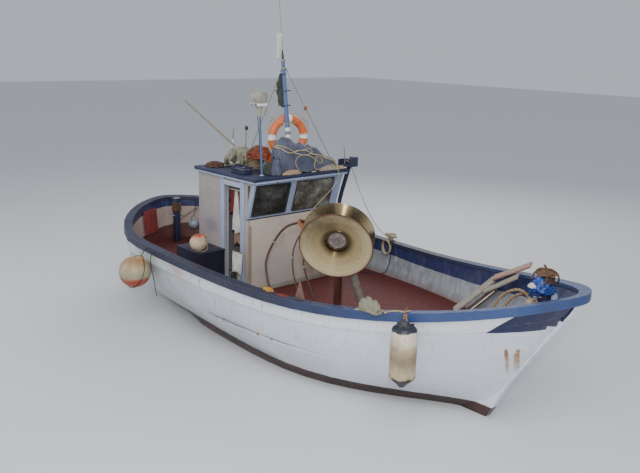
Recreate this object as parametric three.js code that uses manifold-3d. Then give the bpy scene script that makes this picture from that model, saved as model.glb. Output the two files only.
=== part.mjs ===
// A small inshore fishing boat with a wheelhouse and a net hauler.
// Units are millimetres. The origin is on the centreline, amidships, at the waterline.
// +X points to the bow, +Y to port and +Z up.
import * as THREE from "three";
import { mergeVertices } from "three/addons/utils/BufferGeometryUtils.js";
import Module from "manifold-3d";

const wasm = await Module();
wasm.setup();

// Gap between pieces that touch, and room left round pieces that move or pass through
const GAP = 0.3;
const CLEARANCE = 5;
// How far a cutting shape runs past what it cuts, and a length beyond the whole boat
const PAST = 10;
const FAR = 5000;
// Stations along each outline of the hull
const STATIONS = 30;

// Plan outlines of the hull: where each ends, its greatest half-breadth, the share of the length
// at which that lies, and the two exponents of the curve behind it and ahead of it.
const SHEER = {
  stern: -3900, bow: 3900, half: 1575, widest: 0.236,
  aftCurve: 1.527, aftFull: 0.634, foreCurve: 3.652, foreFull: 0.619,
};
const WATERLINE = {
  stern: -3720, bow: 2925, half: 1015, widest: 0.58,
  aftCurve: 1.5, aftFull: 0.36, foreCurve: 2.55, foreFull: 1.65,
};
const RABBET = {
  stern: -3400, bow: 2180, half: 45, widest: 0.5,
  aftCurve: 3, aftFull: 1, foreCurve: 3, foreFull: 1,
};

// Heights above the water
const SHEER_LOW = 1160;
const SHEER_LOW_AT = 0.555;
const BOW_RISE = 500;
const STERN_RISE = 222;
const PAINT_LINE = 126;
const DECK_TOP = 670;
const DECK_THICK = 40;
const KEEL_BOTTOM = -720;
const FOREFOOT = -520;

// Where the planking meets the keel: its lowest height, and how far it rises over which lengths
const KEEL_RISE = {
  low: -470, aft: 500, aftFrom: -1200, aftOver: 2200, fore: 90, foreFrom: 1200, foreOver: 980,
};

// Hull planking, rail and strake
const PLANK = 45;
const RAIL_WIDTH = 120;
const RAIL_CAP = 36;
const BELTING_DEEP = 95;
const BELTING_THICK = 45;
const STRAKE_DEEP = 140;
const STRAKE_PROUD = 14;
const BACKBONE_THICK = 90;
const LEAST_HALF = 8;
// How sharply the topsides flare below the sheer
const TOPSIDE_FLARE = 2.6;
// Sections of the bottom: part of the way down to the keel, and the breadth left there in the full
// middle body and in the fine run aft. The run turns into the middle body over a length.
const BOTTOM = [[1, 0, 0], [0.8, 0.36, 0.276], [0.55, 0.7, 0.528], [0.28, 0.93, 0.769], [0.12, 0.985, 0.903]];
const RUN = { end: -2300, length: 900 };

// Wheelhouse
const HOUSE_AFT = -1616;
const HOUSE_FRONT = -486;
const HOUSE_HALF = 775;
const HOUSE_WALL = 32;
const HOUSE_TOP = 2205;
const ROOF_THICK = 45;
const ROOF_OVERHANG = 45;
const SILL = 1680;
const SCREEN_LEAN = 150;
const SOLE_TOP = 380;
const DOORWAY = { aft: -1000, front: -640, top: 2080 };

// Net hauler: where the sheave is, which way its axis points, and its size
const SHEAVE_AT = new THREE.Vector3(1760, -1300, 1956);
const SHEAVE_AXIS = new THREE.Vector3(0.595, -0.729, -0.33).normalize();
const SHEAVE_RADIUS = 382;
const SHEAVE_WIDTH = 237;
const HUB_RADIUS = 150;
const PLATE_THICK = 6;

// Propeller and rudder
const SHAFT_HEIGHT = -372;
const PROPELLER_AT = -3085;
const PROPELLER_RADIUS = 200;
const STOCK_AT = -3290;

const group = new THREE.Group();

// Looks of the materials: colour, roughness, metalness
const LOOKS = {
  white: [0xc9cbc6, 0.6, 0],
  blue: [0x33477d, 0.55, 0],
  dark_blue: [0x232a4a, 0.6, 0],
  light_blue: [0x93a3b4, 0.6, 0],
  cream: [0xb9a796, 0.65, 0],
  beige: [0x8f8078, 0.7, 0],
  red_brown: [0x6a3630, 0.8, 0],
  antifouling: [0x3a2a2c, 0.8, 0],
  wood: [0xa68a70, 0.7, 0],
  steel: [0xb8aea0, 0.3, 1],
  iron: [0x5c5a58, 0.6, 1],
  bronze: [0x9a7442, 0.35, 1],
  orange: [0xd25a34, 0.6, 0],
  rubber: [0x2b2624, 0.8, 0],
  rope: [0x9c8a6c, 0.9, 0],
  net: [0x75705c, 0.95, 0],
  tarp: [0x596274, 0.85, 0],
  glass: [0x6b7484, 0.1, 0],
};

function material(look) {
  const [color, roughness, metalness] = LOOKS[look];
  return new THREE.MeshStandardMaterial({ color, roughness, metalness });
}

// A closed geometry as a solid that can be joined and cut
function solid(geometry) {
  const bare = geometry.clone();
  bare.deleteAttribute("normal");
  bare.deleteAttribute("uv");
  const merged = mergeVertices(bare, 1e-3);
  return new wasm.Manifold(
    new wasm.Mesh({
      numProp: 3,
      vertProperties: new Float32Array(merged.attributes.position.array),
      triVerts: new Uint32Array(merged.index.array),
    }),
  );
}

function geometryOf(body) {
  const mesh = body.getMesh();
  const position = new THREE.BufferAttribute(new Float32Array(mesh.vertProperties), 3);
  const geometry = new THREE.BufferGeometry().setAttribute("position", position);
  geometry.setIndex(new THREE.BufferAttribute(new Uint32Array(mesh.triVerts), 1));
  geometry.computeVertexNormals();
  return geometry;
}

// Adds one named piece, from a geometry or a solid, to the boat or to a group of it
function piece(name, shape, look, parent = group) {
  const geometry = shape.isBufferGeometry ? shape : geometryOf(shape);
  const mesh = new THREE.Mesh(geometry, material(look));
  mesh.name = name;
  parent.add(mesh);
  return mesh;
}

// A box from its low and high corner
function box(x0, y0, z0, x1, y1, z1) {
  const geometry = new THREE.BoxGeometry(x1 - x0, y1 - y0, z1 - z0);
  return geometry.translate((x0 + x1) / 2, (y0 + y1) / 2, (z0 + z1) / 2);
}

// A round bar between two points
function bar(from, to, radius, sides = 12, endRadius = radius) {
  const start = new THREE.Vector3(...from);
  const end = new THREE.Vector3(...to);
  const along = end.clone().sub(start);
  const geometry = new THREE.CylinderGeometry(endRadius, radius, along.length(), sides);
  geometry.translate(0, along.length() / 2, 0);
  const turn = new THREE.Quaternion().setFromUnitVectors(
    new THREE.Vector3(0, 1, 0),
    along.clone().normalize(),
  );
  return geometry.applyQuaternion(turn).translate(start.x, start.y, start.z);
}

// A round hose or rope through points
function hose(points, radius, sides = 8, steps = 40) {
  const section = new THREE.Shape();
  for (let i = 0; i < sides; i++) {
    const a = (i / sides) * 2 * Math.PI;
    const x = radius * Math.cos(a);
    const y = radius * Math.sin(a);
    if (i === 0) section.moveTo(x, y);
    else section.lineTo(x, y);
  }
  section.closePath();
  const path = new THREE.CatmullRomCurve3(points.map((p) => new THREE.Vector3(...p)));
  return new THREE.ExtrudeGeometry(section, { steps, bevelEnabled: false, extrudePath: path });
}

// A flat plate from its outline in X and Z, between two values of Y
function sidePlate(outline, y0, y1) {
  const shape = new THREE.Shape(outline.map(([x, z]) => new THREE.Vector2(x, z)));
  const geometry = new THREE.ExtrudeGeometry(shape, { depth: y1 - y0, bevelEnabled: false });
  return geometry.rotateX(Math.PI / 2).translate(0, y1, 0);
}

// A flat plate from its outline in Y and Z, between two values of X
function frontPlate(outline, x0, x1) {
  const shape = new THREE.Shape(outline.map(([y, z]) => new THREE.Vector2(y, z)));
  const geometry = new THREE.ExtrudeGeometry(shape, { depth: x1 - x0, bevelEnabled: false });
  const turn = new THREE.Matrix4().makeBasis(
    new THREE.Vector3(0, 1, 0),
    new THREE.Vector3(0, 0, 1),
    new THREE.Vector3(1, 0, 0),
  );
  return geometry.applyMatrix4(turn).translate(x0, 0, 0);
}

// A geometry with other geometries cut out of it
function pierce(geometry, cuts) {
  return cuts.reduce((body, cut) => body.subtract(solid(cut)), solid(geometry));
}

// A solid or geometry with all below a height cut off level
function above(shape, z) {
  const body = shape.isBufferGeometry ? solid(shape) : shape;
  return body.subtract(solid(box(-FAR, -FAR, z - FAR, FAR, FAR, z)));
}

function rectangle(a0, b0, a1, b1) {
  return [[a0, b0], [a1, b0], [a1, b1], [a0, b1]];
}

// A flat board between two points, its width level
function board(from, to, wide, thick) {
  const along = new THREE.Vector3(...to).sub(new THREE.Vector3(...from));
  const geometry = new THREE.BoxGeometry(along.length(), wide, thick);
  geometry.translate(along.length() / 2, 0, 0);
  const x = along.clone().normalize();
  const y = new THREE.Vector3(0, 0, 1).cross(x).normalize();
  geometry.applyMatrix4(new THREE.Matrix4().makeBasis(x, y, x.clone().cross(y)));
  return geometry.translate(...from);
}

// A closed solid through flat rings of points, each ring convex and all with the same count
function loft(rings) {
  const around = rings[0].length;
  const index = [];
  for (let k = 1; k < rings.length; k++) {
    for (let i = 0; i < around; i++) {
      const j = (i + 1) % around;
      const [a, b] = [(k - 1) * around + i, (k - 1) * around + j];
      index.push(a, a + around, b + around, a, b + around, b);
    }
  }
  const last = (rings.length - 1) * around;
  for (let i = 1; i < around - 1; i++) {
    index.push(0, i, i + 1, last, last + i + 1, last + i);
  }
  const geometry = new THREE.BufferGeometry();
  geometry.setAttribute("position", new THREE.Float32BufferAttribute(rings.flat(2), 3));
  geometry.setIndex(index);
  return geometry;
}

// How far below its middle a heap is cut off flat, as a share of its half height
const HEAP_FLAT = 0.35;

// A soft heap: a ball squashed to three half-sizes, with a few broad lumps and a flat base
function heap(at, halves, lumps, seed) {
  const geometry = new THREE.SphereGeometry(1, 18, 12);
  const position = geometry.attributes.position;
  for (let i = 0; i < position.count; i++) {
    const v = new THREE.Vector3().fromBufferAttribute(position, i);
    const wave = Math.sin(v.x * 4 + seed) * Math.cos(v.y * 5 - seed) * Math.cos(v.z * 3 + seed);
    v.multiplyScalar(1 + lumps * wave);
    v.z = Math.max(v.z, -HEAP_FLAT);
    position.setXYZ(i, v.x * halves[0], v.y * halves[1], v.z * halves[2]);
  }
  return geometry.translate(...at);
}

// Hull

function halfBreadth(line, x) {
  const t = THREE.MathUtils.clamp((x - line.stern) / (line.bow - line.stern), 0, 1);
  if (t < line.widest) {
    const aft = 1 - t / line.widest;
    return line.half * Math.max(0, 1 - aft ** line.aftCurve) ** line.aftFull;
  }
  const fore = (t - line.widest) / (1 - line.widest);
  return line.half * Math.max(0, 1 - fore ** line.foreCurve) ** line.foreFull;
}

function sheerHeight(x) {
  const t = (x - SHEER.stern) / (SHEER.bow - SHEER.stern);
  const fore = Math.max(0, t - SHEER_LOW_AT) / (1 - SHEER_LOW_AT);
  const aft = Math.max(0, SHEER_LOW_AT - t) / SHEER_LOW_AT;
  return SHEER_LOW + BOW_RISE * fore ** 2 + STERN_RISE * aft ** 2;
}

// Height of the line where the planking meets the keel, which rises to the counter aft
function rabbetHeight(x) {
  const aft = Math.max(0, (KEEL_RISE.aftFrom - x) / KEEL_RISE.aftOver);
  const fore = Math.max(0, (x - KEEL_RISE.foreFrom) / KEEL_RISE.foreOver);
  return KEEL_RISE.low + KEEL_RISE.aft * aft ** 2 + KEEL_RISE.fore * fore ** 2;
}

// The outline moved inwards by a distance, as points from the stern to the bow
function insetOutline(line, inset) {
  const dense = 600;
  const moved = [];
  for (let i = 0; i <= dense; i++) {
    const share = (1 - Math.cos((Math.PI * i) / dense)) / 2;
    const x = line.stern + (line.bow - line.stern) * share;
    const step = 0.5;
    const y = halfBreadth(line, x);
    const slope =
      (halfBreadth(line, x + step) - halfBreadth(line, x - step)) / (2 * step);
    const length = Math.hypot(1, slope);
    moved.push([x + (inset * slope) / length, y - inset / length]);
  }
  return moved.filter(([, y]) => y > 0);
}

// A function that gives x and y at a share of the moved outline, 0 at the stern and 1 at the bow
function outlineAt(line, inset) {
  const moved = insetOutline(line, inset);
  const first = moved[0];
  const last = moved[moved.length - 1];
  const stern = inset === 0 ? line.stern : first[0];
  const bow = inset === 0 ? line.bow : last[0];
  return (share) => {
    const x = stern + (bow - stern) * share;
    if (share <= 0 || share >= 1) return [x, 0];
    let i = 1;
    while (i < moved.length - 1 && moved[i][0] < x) i++;
    const [xa, ya] = moved[i - 1];
    const [xb, yb] = moved[i];
    const part = THREE.MathUtils.clamp((x - xa) / (xb - xa || 1), 0, 1);
    return [x, ya + (yb - ya) * part];
  };
}

// A closed solid from levels, lowest first. Each level gives x, half-breadth and z at a share.
function stack(levels, stations = STATIONS) {
  const positions = [];
  const index = [];
  const rings = levels.map((level) => {
    const ring = [];
    for (let i = 0; i <= stations; i++) {
      const [x, y, z] = level((1 - Math.cos((Math.PI * i) / stations)) / 2);
      ring.push(positions.length / 3);
      positions.push(x, -y, z);
    }
    for (let i = stations - 1; i > 0; i--) {
      const [x, y, z] = level((1 - Math.cos((Math.PI * i) / stations)) / 2);
      ring.push(positions.length / 3);
      positions.push(x, y, z);
    }
    return ring;
  });
  const around = rings[0].length;
  for (let k = 1; k < rings.length; k++) {
    for (let i = 0; i < around; i++) {
      const j = (i + 1) % around;
      const [a, b, c, d] = [rings[k - 1][i], rings[k - 1][j], rings[k][j], rings[k][i]];
      index.push(a, b, c, a, c, d);
    }
  }
  const cap = (ring, up) => {
    for (let i = 0; i < stations; i++) {
      const a = ring[i];
      const b = ring[i + 1];
      const c = ring[(around - i - 1) % around];
      const d = ring[(around - i) % around];
      const faces = i === 0 ? [[a, b, c]] : i === stations - 1 ? [[a, b, d]] : [[a, b, c], [a, c, d]];
      for (const [p, q, r] of faces) index.push(...(up ? [p, q, r] : [p, r, q]));
    }
  };
  cap(rings[0], false);
  cap(rings[rings.length - 1], true);
  const geometry = new THREE.BufferGeometry();
  geometry.setAttribute("position", new THREE.Float32BufferAttribute(positions, 3));
  geometry.setIndex(index);
  return geometry;
}

// A solid a little larger all round than a geometry: the join of copies moved along each axis
function loose(geometry, gap) {
  let made = solid(geometry);
  for (const [x, y, z] of [[1, 0, 0], [0, 1, 0], [0, 0, 1]]) {
    for (const way of [-gap, gap]) {
      made = made.add(solid(geometry.clone().translate(x * way, y * way, z * way)));
    }
  }
  return made;
}

// Height of the planking's upper edge, under the rail's cap
function plankTop(x) {
  return sheerHeight(x) - RAIL_CAP - GAP;
}

// Where the topsides are at a share of the outline and a part of the way up to the sheer
function topsidePoint([xw, yw], [xs, ys], part) {
  return [xw + (xs - xw) * part, yw + (ys - yw) * (1 - (1 - part) ** TOPSIDE_FLARE)];
}

// A level of the topsides at a height that is given for each place along the sheer
function levelAt(inset, height) {
  const sheer = outlineAt(SHEER, BELTING_THICK + inset);
  const water = outlineAt(WATERLINE, inset);
  return (share) => {
    const top = sheer(share);
    const z = height(top[0]);
    const part = (z - PAINT_LINE) / (plankTop(top[0]) - PAINT_LINE);
    return [...topsidePoint(water(share), top, part), z];
  };
}

// Levels of the hull's skin at an inset, from the bottom to the sheer
function skinLevels(inset, lowest, extra) {
  const sheer = outlineAt(SHEER, BELTING_THICK + inset);
  const water = outlineAt(WATERLINE, inset);
  const rabbet = outlineAt({ ...RABBET, half: Math.max(RABBET.half - inset, LEAST_HALF) }, 0);
  const bottom = BOTTOM.filter(([part]) => part <= lowest);
  const levels = bottom.map(([part, full, fine]) => (share) => {
    const [xw, yw] = water(share);
    const [xr, yr] = rabbet(share);
    const x = xw + (xr - xw) * part;
    const middle = THREE.MathUtils.clamp((x - RUN.end) / RUN.length, 0, 1);
    const y = yr + (yw - yr) * (fine + (full - fine) * middle);
    return [x, y, PAINT_LINE + (rabbetHeight(x) - PAINT_LINE) * part];
  });
  for (const part of [0, 0.2, 0.4, 0.6, 0.8, 1]) {
    levels.push((share) => {
      const top = sheer(share);
      const z = PAINT_LINE + (plankTop(top[0]) - PAINT_LINE) * part;
      return [...topsidePoint(water(share), top, part), z];
    });
  }
  if (extra) {
    levels.push((share) => {
      const [x, y] = sheer(share);
      return [x, y, sheerHeight(x) + extra];
    });
  }
  return levels;
}

const ROOM_LOWEST = 0.8;
const ROOM_EXTRA = 100;
const hullSkin = stack(skinLevels(0, 1, 0));
const hullOutside = loose(hullSkin, 2 * GAP);
const hullRoom = solid(stack(skinLevels(PLANK, ROOM_LOWEST, ROOM_EXTRA)));
const DECK_EDGE_GAP = 2;
const hullRoomClear = solid(stack(skinLevels(PLANK + DECK_EDGE_GAP, ROOM_LOWEST, ROOM_EXTRA)));

// A band between two insets of the sheer, with its bottom and top measured from the sheer
function sheerBand(inset, bottom, top) {
  const outline = outlineAt(SHEER, inset);
  const level = (rise) => (share) => {
    const [x, y] = outline(share);
    return [x, y, sheerHeight(x) + rise];
  };
  return solid(stack([level(bottom), level(top)]));
}

const rail = sheerBand(0, -BELTING_DEEP, 0)
  .subtract(sheerBand(BELTING_THICK - GAP, -BELTING_DEEP - PAST, -RAIL_CAP))
  .subtract(sheerBand(RAIL_WIDTH, -BELTING_DEEP - PAST, PAST));
piece("rail", rail, "blue");

// Keel, stem, skeg and shoe as one side profile, cut away inside the hull
const backboneOutline = [
  [3300, 1380], [3838, 1545], [3816, 1464], [3458, 952], [3162, 505], [2966, 123],
  [2760, -230], [2520, -420], [2200, FOREFOOT], [-3040, KEEL_BOTTOM], [-3440, KEEL_BOTTOM],
  [-3440, KEEL_BOTTOM + 55], [-2960, KEEL_BOTTOM + 75], [-2930, -500], [-2930, -50],
  [-2700, 150], [2000, 150], [2700, 300],
];
const halfBackbone = BACKBONE_THICK / 2;
const SHAFT_HOLE = { aft: -3200, fore: -2590, radius: 32 };
const shaftHole = solid(
  bar([SHAFT_HOLE.aft, 0, SHAFT_HEIGHT], [SHAFT_HOLE.fore, 0, SHAFT_HEIGHT], SHAFT_HOLE.radius),
);
const backbone = solid(sidePlate(backboneOutline, -halfBackbone, halfBackbone))
  .subtract(hullOutside)
  .subtract(shaftHole);
piece("keel_and_stem", backbone, "antifouling");

const STOCK = { radius: 26, bottom: -655, top: DECK_TOP - 8, holeLow: -300, holeHigh: 900 };
const stockHole = solid(
  bar([STOCK_AT, 0, STOCK.holeLow], [STOCK_AT, 0, STOCK.holeHigh], STOCK.radius + CLEARANCE, 16),
);
const hull = solid(hullSkin).subtract(hullRoom).subtract(stockHole);
piece("hull", hull, "white");

// Deck, with openings for the sunk wheelhouse sole and for the engine hatch
const HATCH = { x0: -2750, x1: -2050, half: 380 };
const SOLE_EDGE = { end: 60, side: 90 };
const deckHoles = [
  box(
    HOUSE_AFT + SOLE_EDGE.end, -HOUSE_HALF + SOLE_EDGE.side, DECK_TOP - FAR,
    HOUSE_FRONT - SOLE_EDGE.end, HOUSE_HALF - SOLE_EDGE.side, DECK_TOP + FAR,
  ),
  box(HATCH.x0, -HATCH.half, DECK_TOP - FAR, HATCH.x1, HATCH.half, DECK_TOP + FAR),
];
let deck = hullRoomClear.intersect(solid(box(-FAR, -FAR, DECK_TOP - DECK_THICK, FAR, FAR, DECK_TOP)));
for (const hole of deckHoles) deck = deck.subtract(solid(hole));
deck = deck.subtract(stockHole);
piece("deck", deck, "red_brown");

// The sheer strake, a plank that stands proud of the others below the belting. It ends at the stem.
const STRAKE_GAP = 8;
const STEM_LONG = 1000;
const strakeTop = BELTING_DEEP + STRAKE_GAP;
const strakeLevels = [strakeTop + STRAKE_DEEP, strakeTop].map((deep) =>
  levelAt(-STRAKE_PROUD, (x) => sheerHeight(x) - deep),
);
const strake = solid(stack(strakeLevels))
  .subtract(hullOutside)
  .subtract(sheerBand(-STRAKE_DEEP, -strakeTop, FAR))
  .subtract(
    solid(box(SHEER.bow - STEM_LONG, -halfBackbone - GAP, 0, SHEER.bow, halfBackbone + GAP, FAR)),
  );
piece("sheer_strake", strake, "white");

// Rubbing strip on each side, low on the planking amidships
const RUB = { x0: -480, x1: 1500, low: 492, high: 556, proud: 20 };
const rubBand = solid(stack([RUB.low, RUB.high].map((z) => levelAt(-RUB.proud, () => z)))).subtract(
  hullOutside,
);
for (const [name, y0, y1] of [["rub_starboard", -FAR, 0], ["rub_port", 0, FAR]]) {
  piece(name, rubBand.intersect(solid(box(RUB.x0, y0, 0, RUB.x1, y1, FAR))), "white");
}

// Wheelhouse
const wallOuter = HOUSE_HALF;
const wallInner = HOUSE_HALF - HOUSE_WALL;
const wallBottom = DECK_TOP + GAP;
const WINDOW_TOP = 2080;
const COAMING = 120;
const doorwayHole = rectangle(DOORWAY.aft, wallBottom + COAMING, DOORWAY.front, DOORWAY.top);
const sideWindow = { x0: -1300, x1: -700 };
const portWindow = rectangle(sideWindow.x0, SILL, sideWindow.x1, WINDOW_TOP);
// The side walls follow the leaning windscreen, with a three-cornered opening ahead of the corner post
const SCREEN_THICK = 40;
const SCREEN_ROOM = 4;
const screenBack = HOUSE_FRONT - SCREEN_THICK - SCREEN_ROOM;
const SILL_STEP = 8;
const SILL_DROP = 2;
const sideOutline = [
  [HOUSE_AFT, wallBottom], [HOUSE_FRONT, wallBottom], [HOUSE_FRONT, SILL - SILL_STEP],
  [screenBack, SILL - SILL_DROP], [screenBack + SCREEN_LEAN, HOUSE_TOP], [HOUSE_AFT, HOUSE_TOP],
];
const CORNER = { aft: -495, fore: -425, low: SILL + 190, high: 2140 };
const cornerHole = [[CORNER.aft, CORNER.low], [CORNER.aft, CORNER.high], [CORNER.fore, CORNER.high]];
piece(
  "wall_starboard",
  pierce(sidePlate(sideOutline, -wallOuter, -wallInner), [
    sidePlate(doorwayHole, -wallOuter - PAST, -wallInner + PAST),
    sidePlate(cornerHole, -wallOuter - PAST, -wallInner + PAST),
  ]),
  "beige",
);
piece(
  "wall_port",
  pierce(sidePlate(sideOutline, wallInner, wallOuter), [
    sidePlate(portWindow, wallInner - PAST, wallOuter + PAST),
    sidePlate(cornerHole, wallInner - PAST, wallOuter + PAST),
  ]),
  "cream",
);
const between = wallInner - GAP;
const AFT_WINDOW_HALF = 300;
const aftWindow = rectangle(-AFT_WINDOW_HALF, SILL, AFT_WINDOW_HALF, WINDOW_TOP);
piece(
  "wall_aft",
  pierce(
    frontPlate(rectangle(-between, wallBottom, between, HOUSE_TOP), HOUSE_AFT, HOUSE_AFT + HOUSE_WALL),
    [frontPlate(aftWindow, HOUSE_AFT - PAST, HOUSE_AFT + HOUSE_WALL + PAST)],
  ),
  "beige",
);
piece(
  "wall_front",
  frontPlate(
    rectangle(-between, wallBottom, between, SILL - SILL_STEP),
    HOUSE_FRONT - HOUSE_WALL,
    HOUSE_FRONT,
  ),
  "cream",
);

// Windscreen frame, which leans forwards at the top, with two panes
const screenBottom = SILL + GAP;
const screenHigh = HOUSE_TOP - GAP;
const lean = Math.atan2(SCREEN_LEAN, screenHigh - screenBottom);
const screenLong = (screenHigh - screenBottom) / Math.cos(lean);
const PANES = [
  { name: "pane_starboard", low: -735, high: -145 },
  { name: "pane_port", low: -55, high: 640 },
];
const PANE_BOTTOM = 30;
const PANE_TOP = 60;
const PANE_THICK = 6;
const SCREEN_END = 12;
const screenPivot = new THREE.Group();
screenPivot.position.set(HOUSE_FRONT, 0, screenBottom);
screenPivot.rotation.y = lean;
group.add(screenPivot);
let screen = solid(box(-SCREEN_THICK, -wallOuter, SCREEN_END, 0, wallOuter, screenLong - SCREEN_END));
for (const { low, high } of PANES) {
  const hole = box(-SCREEN_THICK - PAST, low, PANE_BOTTOM, PAST, high, screenLong - PANE_TOP);
  screen = screen.subtract(solid(hole));
}
piece("windscreen_frame", screen, "light_blue", screenPivot);
for (const { name, low, high } of PANES) {
  const outline = rectangle(low + GAP, PANE_BOTTOM + GAP, high - GAP, screenLong - PANE_TOP - GAP);
  const back = -SCREEN_THICK / 2 - PANE_THICK;
  piece(name, frontPlate(outline, back, back + PANE_THICK), "glass", screenPivot);
}
const wallPane = (lowSide, highSide) =>
  rectangle(lowSide + GAP, SILL + GAP, highSide - GAP, WINDOW_TOP - GAP);
const midWall = (HOUSE_WALL - PANE_THICK) / 2;
piece(
  "pane_side",
  sidePlate(wallPane(sideWindow.x0, sideWindow.x1), wallInner + midWall, wallInner + midWall + PANE_THICK),
  "glass",
);
piece(
  "pane_aft",
  frontPlate(
    wallPane(-AFT_WINDOW_HALF, AFT_WINDOW_HALF),
    HOUSE_AFT + midWall,
    HOUSE_AFT + midWall + PANE_THICK,
  ),
  "glass",
);

// Roof
const roofFront = HOUSE_FRONT + SCREEN_LEAN + ROOF_OVERHANG;
const roofAft = HOUSE_AFT - ROOF_OVERHANG;
const roofHalf = HOUSE_HALF + ROOF_OVERHANG;
const roofTop = HOUSE_TOP + GAP + ROOF_THICK;
const onRoof = roofTop + GAP;
piece("roof", box(roofAft, -roofHalf, HOUSE_TOP + GAP, roofFront, roofHalf, roofTop), "dark_blue");

// The sole, a tray let down through the deck for headroom
const TRAY_WALL = 20;
const TRAY_FLOOR = 30;
const tray = {
  aft: HOUSE_AFT + SOLE_EDGE.end + GAP,
  front: HOUSE_FRONT - SOLE_EDGE.end - GAP,
  half: HOUSE_HALF - SOLE_EDGE.side - GAP,
};
const trayBlock = box(tray.aft, -tray.half, SOLE_TOP - TRAY_FLOOR, tray.front, tray.half, DECK_TOP);
const trayRoom = box(
  tray.aft + TRAY_WALL, -tray.half + TRAY_WALL, SOLE_TOP,
  tray.front - TRAY_WALL, tray.half - TRAY_WALL, DECK_TOP + PAST,
);
piece("sole", pierce(trayBlock, [trayRoom]), "wood");

// Sliding door, inside the starboard wall, parked aft of its opening
const DOOR = { thick: 24, gap: 12, travel: 400, lap: 30, low: 60 };
const DOOR_WINDOW = { aft: 90, front: 80, low: SILL - 100, top: DOORWAY.top - 100 };
const doorY = -wallInner + DOOR.gap;
const doorAft = DOORWAY.aft - DOOR.travel - DOOR.lap;
piece(
  "door",
  pierce(
    sidePlate(
      rectangle(doorAft, wallBottom + DOOR.low, DOORWAY.aft, DOORWAY.top + DOOR.lap),
      doorY,
      doorY + DOOR.thick,
    ),
    [
      sidePlate(
        rectangle(
          doorAft + DOOR_WINDOW.aft, DOOR_WINDOW.low, DOORWAY.aft - DOOR_WINDOW.front, DOOR_WINDOW.top,
        ),
        doorY - PAST,
        doorY + DOOR.thick + PAST,
      ),
    ],
  ),
  "light_blue",
);

// Helm console with the steering wheel
const CONSOLE = { aft: -800, front: tray.front - TRAY_WALL - GAP, y0: 60, y1: 640, top: 1480 };
piece(
  "console",
  box(CONSOLE.aft, CONSOLE.y0, SOLE_TOP + GAP, CONSOLE.front, CONSOLE.y1, CONSOLE.top),
  "wood",
);
const WHEEL_AT = [-870, 350, 1300];
const WHEEL = { radius: 190, rim: 13, boss: 28, bossFrom: -20, bossTo: 66, spoke: 9, spokes: 3 };
const wheel = new THREE.Group();
wheel.position.set(...WHEEL_AT);
group.add(wheel);
let wheelBody = solid(
  new THREE.TorusGeometry(WHEEL.radius, WHEEL.rim, 8, 28).rotateY(Math.PI / 2),
).add(solid(bar([WHEEL.bossFrom, 0, 0], [WHEEL.bossTo, 0, 0], WHEEL.boss)));
for (let i = 0; i < WHEEL.spokes; i++) {
  const angle = (i * 2 * Math.PI) / WHEEL.spokes;
  const tip = [0, WHEEL.radius * Math.cos(angle), WHEEL.radius * Math.sin(angle)];
  wheelBody = wheelBody.add(solid(bar([0, 0, 0], tip, WHEEL.spoke, 8)));
}
piece("steering_wheel", wheelBody, "wood", wheel);

// Engine, one plain block under the hatch
const ENGINE = [-2480, -200, -90, -1880, 200, 500];
piece("engine", box(...ENGINE), "iron");

// Engine hatch lid on the aft deck, hinged at its forward edge
const LID = { lap: 40, thick: 90 };
piece(
  "engine_hatch",
  box(
    HATCH.x0 - LID.lap, -HATCH.half - LID.lap, DECK_TOP + GAP,
    HATCH.x1 + LID.lap, HATCH.half + LID.lap, DECK_TOP + LID.thick,
  ),
  "red_brown",
);

// Locker outboard of the wheelhouse. Its top is fixed forward, and a hinged lid covers the rest.
const LOCKER = {
  x0: -1500, x1: -960, y0: -1210, y1: -800, top: 1180, wall: 22, lid: 24, lip: 12, fixedFrom: -1184,
};
const lockerBox = box(LOCKER.x0, LOCKER.y0, DECK_TOP + GAP, LOCKER.x1, LOCKER.y1, LOCKER.top);
const lockerRoom = box(
  LOCKER.x0 + LOCKER.wall, LOCKER.y0 + LOCKER.wall, DECK_TOP + LOCKER.wall,
  LOCKER.x1 - LOCKER.wall, LOCKER.y1 - LOCKER.wall, LOCKER.top + PAST,
);
const lockerTop = box(
  LOCKER.fixedFrom, LOCKER.y0 - LOCKER.lip, LOCKER.top,
  LOCKER.x1 + LOCKER.lip, LOCKER.y1, LOCKER.top + LOCKER.lid,
);
piece("locker", pierce(lockerBox, [lockerRoom]).add(solid(lockerTop)), "dark_blue");
piece(
  "locker_lid",
  box(
    LOCKER.x0 - LOCKER.lip, LOCKER.y0 - LOCKER.lip, LOCKER.top + GAP,
    LOCKER.fixedFrom - CLEARANCE, LOCKER.y1, LOCKER.top + LOCKER.lid,
  ),
  "blue",
);

// Propeller with its shaft end, in the aperture ahead of the rudder
const BOSS = { aft: -70, fore: 120, radius: 42 };
const SHAFT = { lap: 20, fore: 480, radius: 25 };
const BLADE = { count: 3, thick: 11, wide: 82, turn: THREE.MathUtils.degToRad(52), root: 5 };
const screw = new THREE.Group();
screw.position.set(PROPELLER_AT, 0, SHAFT_HEIGHT);
group.add(screw);
let blades = solid(bar([BOSS.aft, 0, 0], [BOSS.fore, 0, 0], BOSS.radius, 16)).add(
  solid(bar([BOSS.fore - SHAFT.lap, 0, 0], [SHAFT.fore, 0, 0], SHAFT.radius, 16)),
);
for (let i = 0; i < BLADE.count; i++) {
  const blade = new THREE.SphereGeometry(1, 14, 8);
  blade.scale(BLADE.thick, BLADE.wide, PROPELLER_RADIUS / 2);
  blade.rotateZ(BLADE.turn);
  blade.translate(0, 0, PROPELLER_RADIUS / 2 + BLADE.root);
  blade.rotateX((i * 2 * Math.PI) / BLADE.count);
  blades = blades.add(solid(blade));
}
piece("propeller", blades, "bronze", screw);

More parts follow.
